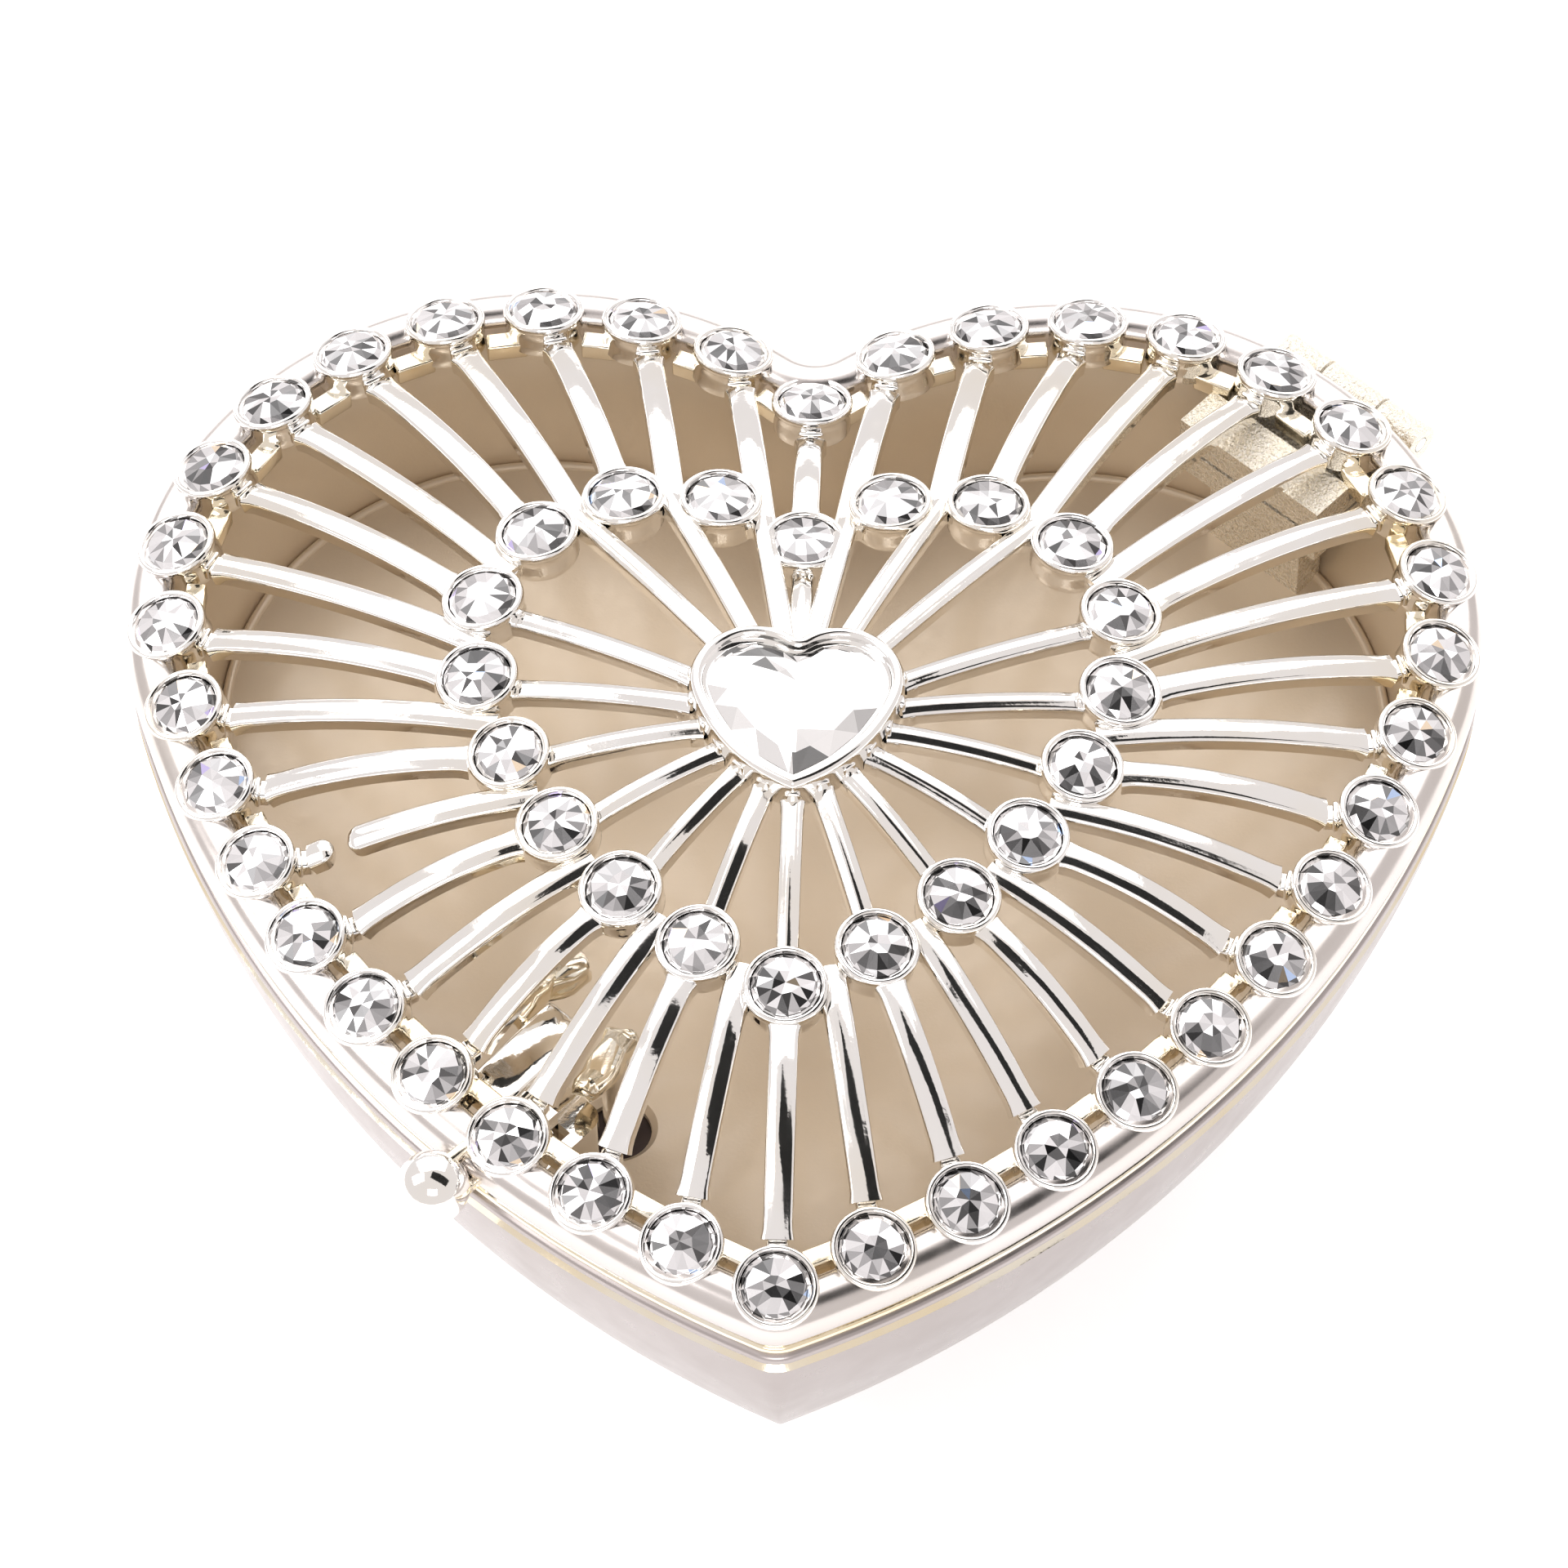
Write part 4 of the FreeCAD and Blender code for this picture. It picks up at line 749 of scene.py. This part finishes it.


# ---------------------------------------------------------------------------------------------
# Heart crystal.  One large foiled stone cut to the heart of the bezel: a small heart-shaped
# table and two rows of long facets that run down to its edge.  Its facet colours are painted
# reflection: a dark band towards the top and upper left, greyer facets on the right, white elsewhere.

def heart_crystal():
    draw = random.Random(7)
    top = BEZEL_TOP
    outline = BEZEL.loop(1.12 * MM)
    count = 26
    edge = [outline[round(step * len(outline) / count) % len(outline)] for step in range(count)]
    centre = sum((point for point in edge), Vector((0, 0))) / count
    local = [Vector((p.x, p.y, top - 0.55 * MM)) for p in edge]
    mid_scale, table_scale, core_scale = 0.80, 0.56, 0.26
    for step, point in enumerate(edge):
        following = edge[(step + 1) % count]
        half = centre + ((point + following) / 2 - centre) * mid_scale
        local.append(Vector((half.x, half.y, top - 0.12 * MM + draw.uniform(-0.05, 0.05) * MM)))
    for step in range(0, count, 2):
        place = centre + (edge[step] - centre) * table_scale
        local.append(Vector((place.x, place.y, top + 0.12 * MM + draw.uniform(-0.09, 0.09) * MM)))
    for step in range(0, count, 2):
        place = centre + ((edge[step] + edge[(step + 2) % count]) / 2 - centre) * core_scale
        local.append(Vector((place.x, place.y, top + 0.10 * MM + draw.uniform(-0.10, 0.10) * MM)))
    local.append(Vector((centre.x, centre.y, top + 0.12 * MM)))
    faces = []
    mid, table, core, last = count, 2 * count, 2 * count + count // 2, 2 * count + count
    for step in range(count):
        after = (step + 1) % count
        faces.append((after, mid + step, step))
        faces.append((after, mid + after, mid + step))
    for step in range(count // 2):
        after = (step + 1) % (count // 2)
        a, b, c = mid + (2 * step - 1) % count, mid + 2 * step, mid + (2 * step + 1) % count
        faces.append((a, table + step, b))
        faces.append((b, table + step, table + after))
        faces.append((b, table + after, c))
        faces.append((table + step, core + step, table + after))
        faces.append((core + step, core + after, table + after))
        faces.append((core + step, last, core + after))
    faces = [tuple(reversed(face)) for face in faces]
    shades = []
    for face in faces:
        place = sum((local[index] for index in face), Vector()) / len(face)
        turned = math.degrees(math.atan2(place.y - centre.y, place.x - centre.x))
        reach = (Vector((place.x, place.y)) - centre).length / MM
        # Painted reflection set by place: dark in a band towards the top and upper left, grey to the right,
        # white elsewhere.
        if 62 < turned < 150 and 2.0 < reach < 4.1:
            tone = draw.uniform(0.05, 0.16)
        elif -45 < turned < 50 and reach > 1.5:
            tone = draw.uniform(0.55, 0.85)
        else:
            tone = draw.uniform(0.86, 1.0)
        shades.append((tone, tone * 0.985, tone * 0.98))
    return facet_mesh("heart_crystal", [(local, faces, shades)], crystal)


heart_piece = heart_crystal()
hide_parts("heart_stone")
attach(heart_piece, "lid")


# ---------------------------------------------------------------------------------------------
# Everything carried over from the frame keeps its shape and takes the finish of its metal.

steel = silver("bright_steel", (0.60, 0.60, 0.61, 1), (0.50, 0.49, 0.48, 1), 0.18, 0.32, 0.1)
brass = silver("turned_brass", (0.80, 0.60, 0.28, 1), (0.66, 0.48, 0.22, 1), 0.16, 0.30, 0.1)
gilt = silver("gilt_zinc", (0.86, 0.70, 0.38, 1), (0.74, 0.58, 0.30, 1), 0.14, 0.26, 0.12)


def acetal():
    paint = Paint("white_acetal", Metallic=0.0, Subsurface_Weight=0.05)
    paint.feed("Base Color", paint.blend(paint.noise(300, 2.0), (0.86, 0.85, 0.80, 1), (0.80, 0.78, 0.72, 1)))
    paint.feed("Roughness", paint.range(paint.noise(1500, 2.0), 0.3, 0.7, 0.35, 0.5))
    return paint.material


def felt_cloth():
    paint = Paint("felt", Metallic=0.0, Sheen_Weight=0.4)
    fibre = paint.noise(9000, 4.0)
    paint.feed("Base Color", paint.blend(fibre, (0.012, 0.012, 0.016, 1), (0.05, 0.05, 0.06, 1)))
    paint.feed("Roughness", paint.range(fibre, 0.3, 0.7, 0.85, 1.0))
    paint.feed("Normal", paint.bump(fibre, 0.8, 0.0002))
    return paint.material


def cast_grain():
    """As-cast zinc under thin plate: a grainy skin that was never polished."""
    paint = Paint("cast_grain", Metallic=0.72)
    grain = paint.noise(3800, 4.0)
    paint.feed("Base Color", paint.blend(grain, (0.80, 0.69, 0.50, 1), (0.99, 0.97, 0.92, 1)))
    paint.feed("Roughness", paint.range(grain, 0.3, 0.7, 0.34, 0.16))
    paint.feed("Normal", paint.bump(grain, 0.9, 0.00022))
    return paint.material


pad_metal = cast_grain()
finishes = {"steel": steel, "brass": brass, "gold_plate": gilt, "plastic": acetal(), "felt": felt_cloth(),
            "cast_pads": pad_metal, "cover": steel, "silver_plate": plate_bright, "tray": tray_paint,
            "crystal": crystal}
dark_bore = silver("dark_bore", (0.06, 0.045, 0.04, 1), (0.03, 0.02, 0.02, 1), 0.35, 0.5, 0.1)
node_finishes = {"stop_guide": dark_bore, "stop_pin": plate_bright, "thumb_ball": plate_bright}
for part in frame["record"]["subparts"]:
    node = frame["nodes"][part["node"]]
    node.data.materials.clear()
    node.data.materials.append(node_finishes.get(part["node"], finishes[part["material_slot"]]))


# ---------------------------------------------------------------------------------------------
# Catch.  Between two ribs the lid casting has a polished web that carries the tongue, left rough
# where its sprue broke away, and a rough foot beside it presses the stop pin down.  The thumb
# ball is held to the rim by a small claw.

TONGUE = (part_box("catch_tongue")[0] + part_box("catch_tongue")[1]) / 2


def rough_lump(centre, along, width, height, length, stray, seed):
    """A casting left rough: a rounded block with an uneven skin."""
    block = rounded_blocks([(Vector(), Vector((1, 0, 0)), width, height, length)], 0.3 * min(width, height))
    data = bmesh.new()
    made = [data.verts.new(vert) for vert in block[0]]
    for face in block[1]:
        data.faces.new([made[index] for index in face])
    bmesh.ops.subdivide_edges(data, edges=data.edges[:], cuts=3, use_grid_fill=True)
    flat = Vector((along.x, along.y, 0)).normalized()
    turn = Matrix((flat, Vector((-flat.y, flat.x, 0)), Vector((0, 0, 1)))).transposed()
    verts = []
    for vert in data.verts:
        push = noise.noise_vector(vert.co * 900 + Vector((seed, 0, 0))) * stray
        verts.append(centre + turn @ (vert.co + push))
    data.verts.index_update()
    faces = [tuple(vert.index for vert in face.verts) for face in data.faces]
    data.free()
    return verts, faces


def catch_web():
    inward = Vector((0.62, 0.78, 0))
    web = rough_lump(TONGUE + Vector((0.8, 4.9, 2.5)) * MM, inward, 3.4 * MM, 1.1 * MM, 7.6 * MM, 0.16 * MM, 3)
    verts, faces = gather([web])
    return new_piece("catch_web", verts, faces, [plate_bright], 60)


def rough_castings():
    parts = [
        rough_lump(TONGUE + Vector((2.0, 11.0, 1.9)) * MM, Vector((0.8, 0.6, 0)), 2.0 * MM, 1.5 * MM, 4.8 * MM,
                   0.55 * MM, 11),
        rough_lump(TONGUE + Vector((0.9, 9.4, 2.2)) * MM, Vector((0.5, 0.86, 0)), 1.3 * MM, 1.1 * MM, 4.2 * MM,
                   0.45 * MM, 23),
        rough_lump(TONGUE + Vector((5.5, 5.0, 1.9)) * MM, Vector((0.44, 0.90, 0)), 2.0 * MM, 1.5 * MM, 5.2 * MM,
                   0.5 * MM, 5),
    ]
    verts, faces = gather(parts)
    return new_piece("rough_castings", verts, faces, [plate_gold_tint], 24)


def ball_claw():
    low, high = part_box("thumb_ball")
    ball_radius = (high.z - low.z) / 2
    centre = low + Vector((ball_radius, ball_radius, ball_radius))
    inward = Vector((0.68, 0.73, 0))
    side = Vector((-inward.y, inward.x, 0))
    blocks = []
    for across, up in ((-1.25, -0.5), (1.25, -0.5), (0.0, 1.35)):
        place = centre + inward * 2.1 * MM + side * across * MM + Vector((0, 0, up * MM))
        blocks.append((place, inward, 0.75 * MM, 0.75 * MM, 1.9 * MM))
    verts, faces = rounded_blocks(blocks, 0.25 * MM)
    return new_piece("ball_claw", verts, faces, [plate_gold_tint], 40)


web_piece = catch_web()
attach(web_piece, "lid")
rough_piece = rough_castings()
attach(rough_piece, "lid")
claw_piece = ball_claw()
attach(claw_piece, "lid")


# ---------------------------------------------------------------------------------------------
# Studio.  White sweep, one large soft source overhead and two at the sides, and a black card
# beside the camera that draws the dark line along the polished ribs.

def studio_floor():
    half = 1.6
    verts = [(-half, -half, 0), (half, -half, 0), (half, half, 0), (-half, half, 0)]
    paint = Paint("sweep", Roughness=0.9, Emission_Color=(1, 1, 1, 1), Emission_Strength=0.42)
    paint.feed("Base Color", (0.93, 0.93, 0.93, 1))
    return new_piece("floor", verts, [(0, 1, 2, 3)], [paint.material])


studio_floor()

world = bpy.data.worlds.new("studio")
world.use_nodes = True
world.node_tree.nodes["Background"].inputs["Color"].default_value = (0.84, 0.80, 0.79, 1)
world.node_tree.nodes["Background"].inputs["Strength"].default_value = 1.0
bpy.context.scene.world = world


def panel(name, place, target, size, power, tint=(1, 1, 1)):
    lamp = bpy.data.lights.new(name, "AREA")
    lamp.shape = "RECTANGLE"
    lamp.size, lamp.size_y = size
    lamp.energy = power
    lamp.color = tint
    piece = bpy.data.objects.new(name, lamp)
    piece.location = place
    piece.rotation_mode = "QUATERNION"
    piece.rotation_quaternion = (Vector(target) - Vector(place)).to_track_quat("-Z", "Y")
    bpy.context.scene.collection.objects.link(piece)
    return piece


middle = Vector((0, 0, 0.03))
panel("back_light", (-0.05, 0.50, 0.53), middle, (1.05, 0.75), 3.3)
panel("left_light", (-0.55, -0.05, 0.60), middle, (0.35, 0.5), 1.6)
panel("front_light", (0.0, -0.62, 0.50), middle, (0.40, 0.25), 1.3)


def card(name, place, size):
    """A black card that faces the box and shows only in its reflections."""
    half_x, half_y = size[0] / 2, size[1] / 2
    verts = [(-half_x, -half_y, 0), (half_x, -half_y, 0), (half_x, half_y, 0), (-half_x, half_y, 0)]
    paint = Paint(name + "_black", Roughness=1.0)
    paint.feed("Base Color", (0.004, 0.004, 0.004, 1))
    piece = new_piece(name, verts, [(0, 1, 2, 3)], [paint.material])
    piece.location = place
    piece.rotation_mode = "QUATERNION"
    piece.rotation_quaternion = (middle - Vector(place)).to_track_quat("Z", "Y")
    piece.visible_camera = False
    piece.visible_shadow = False
    return piece


card("overhead_card", (0.16, -0.06, 0.46), (0.20, 0.50))

# The camera stands in front of the tip and looks down on the lid.
AZIMUTH = math.radians(2.43)
ELEVATION = math.radians(54.3)
DISTANCE = 0.5
PIXELS_PER_METRE = 19520.0
FRAME_PIXELS = 1920
back = Vector((math.sin(AZIMUTH) * math.cos(ELEVATION), -math.cos(AZIMUTH) * math.cos(ELEVATION),
               math.sin(ELEVATION)))
camera_data = bpy.data.cameras.new("camera")
camera_data.sensor_width = 36.0
camera_data.lens = PIXELS_PER_METRE * DISTANCE / FRAME_PIXELS * camera_data.sensor_width
camera_data.shift_x = -16.2 / FRAME_PIXELS
camera_data.shift_y = 62.0 / FRAME_PIXELS
camera_data.clip_start = 0.01
camera = bpy.data.objects.new("camera", camera_data)
camera.location = middle + back * DISTANCE
camera.rotation_mode = "QUATERNION"
roll = Quaternion(Vector((0, 0, 1)), math.radians(-0.65))
camera.rotation_quaternion = (-back).to_track_quat("-Z", "Y") @ roll
bpy.context.scene.collection.objects.link(camera)
bpy.context.scene.camera = camera
bpy.context.scene.view_settings.view_transform = "Standard"
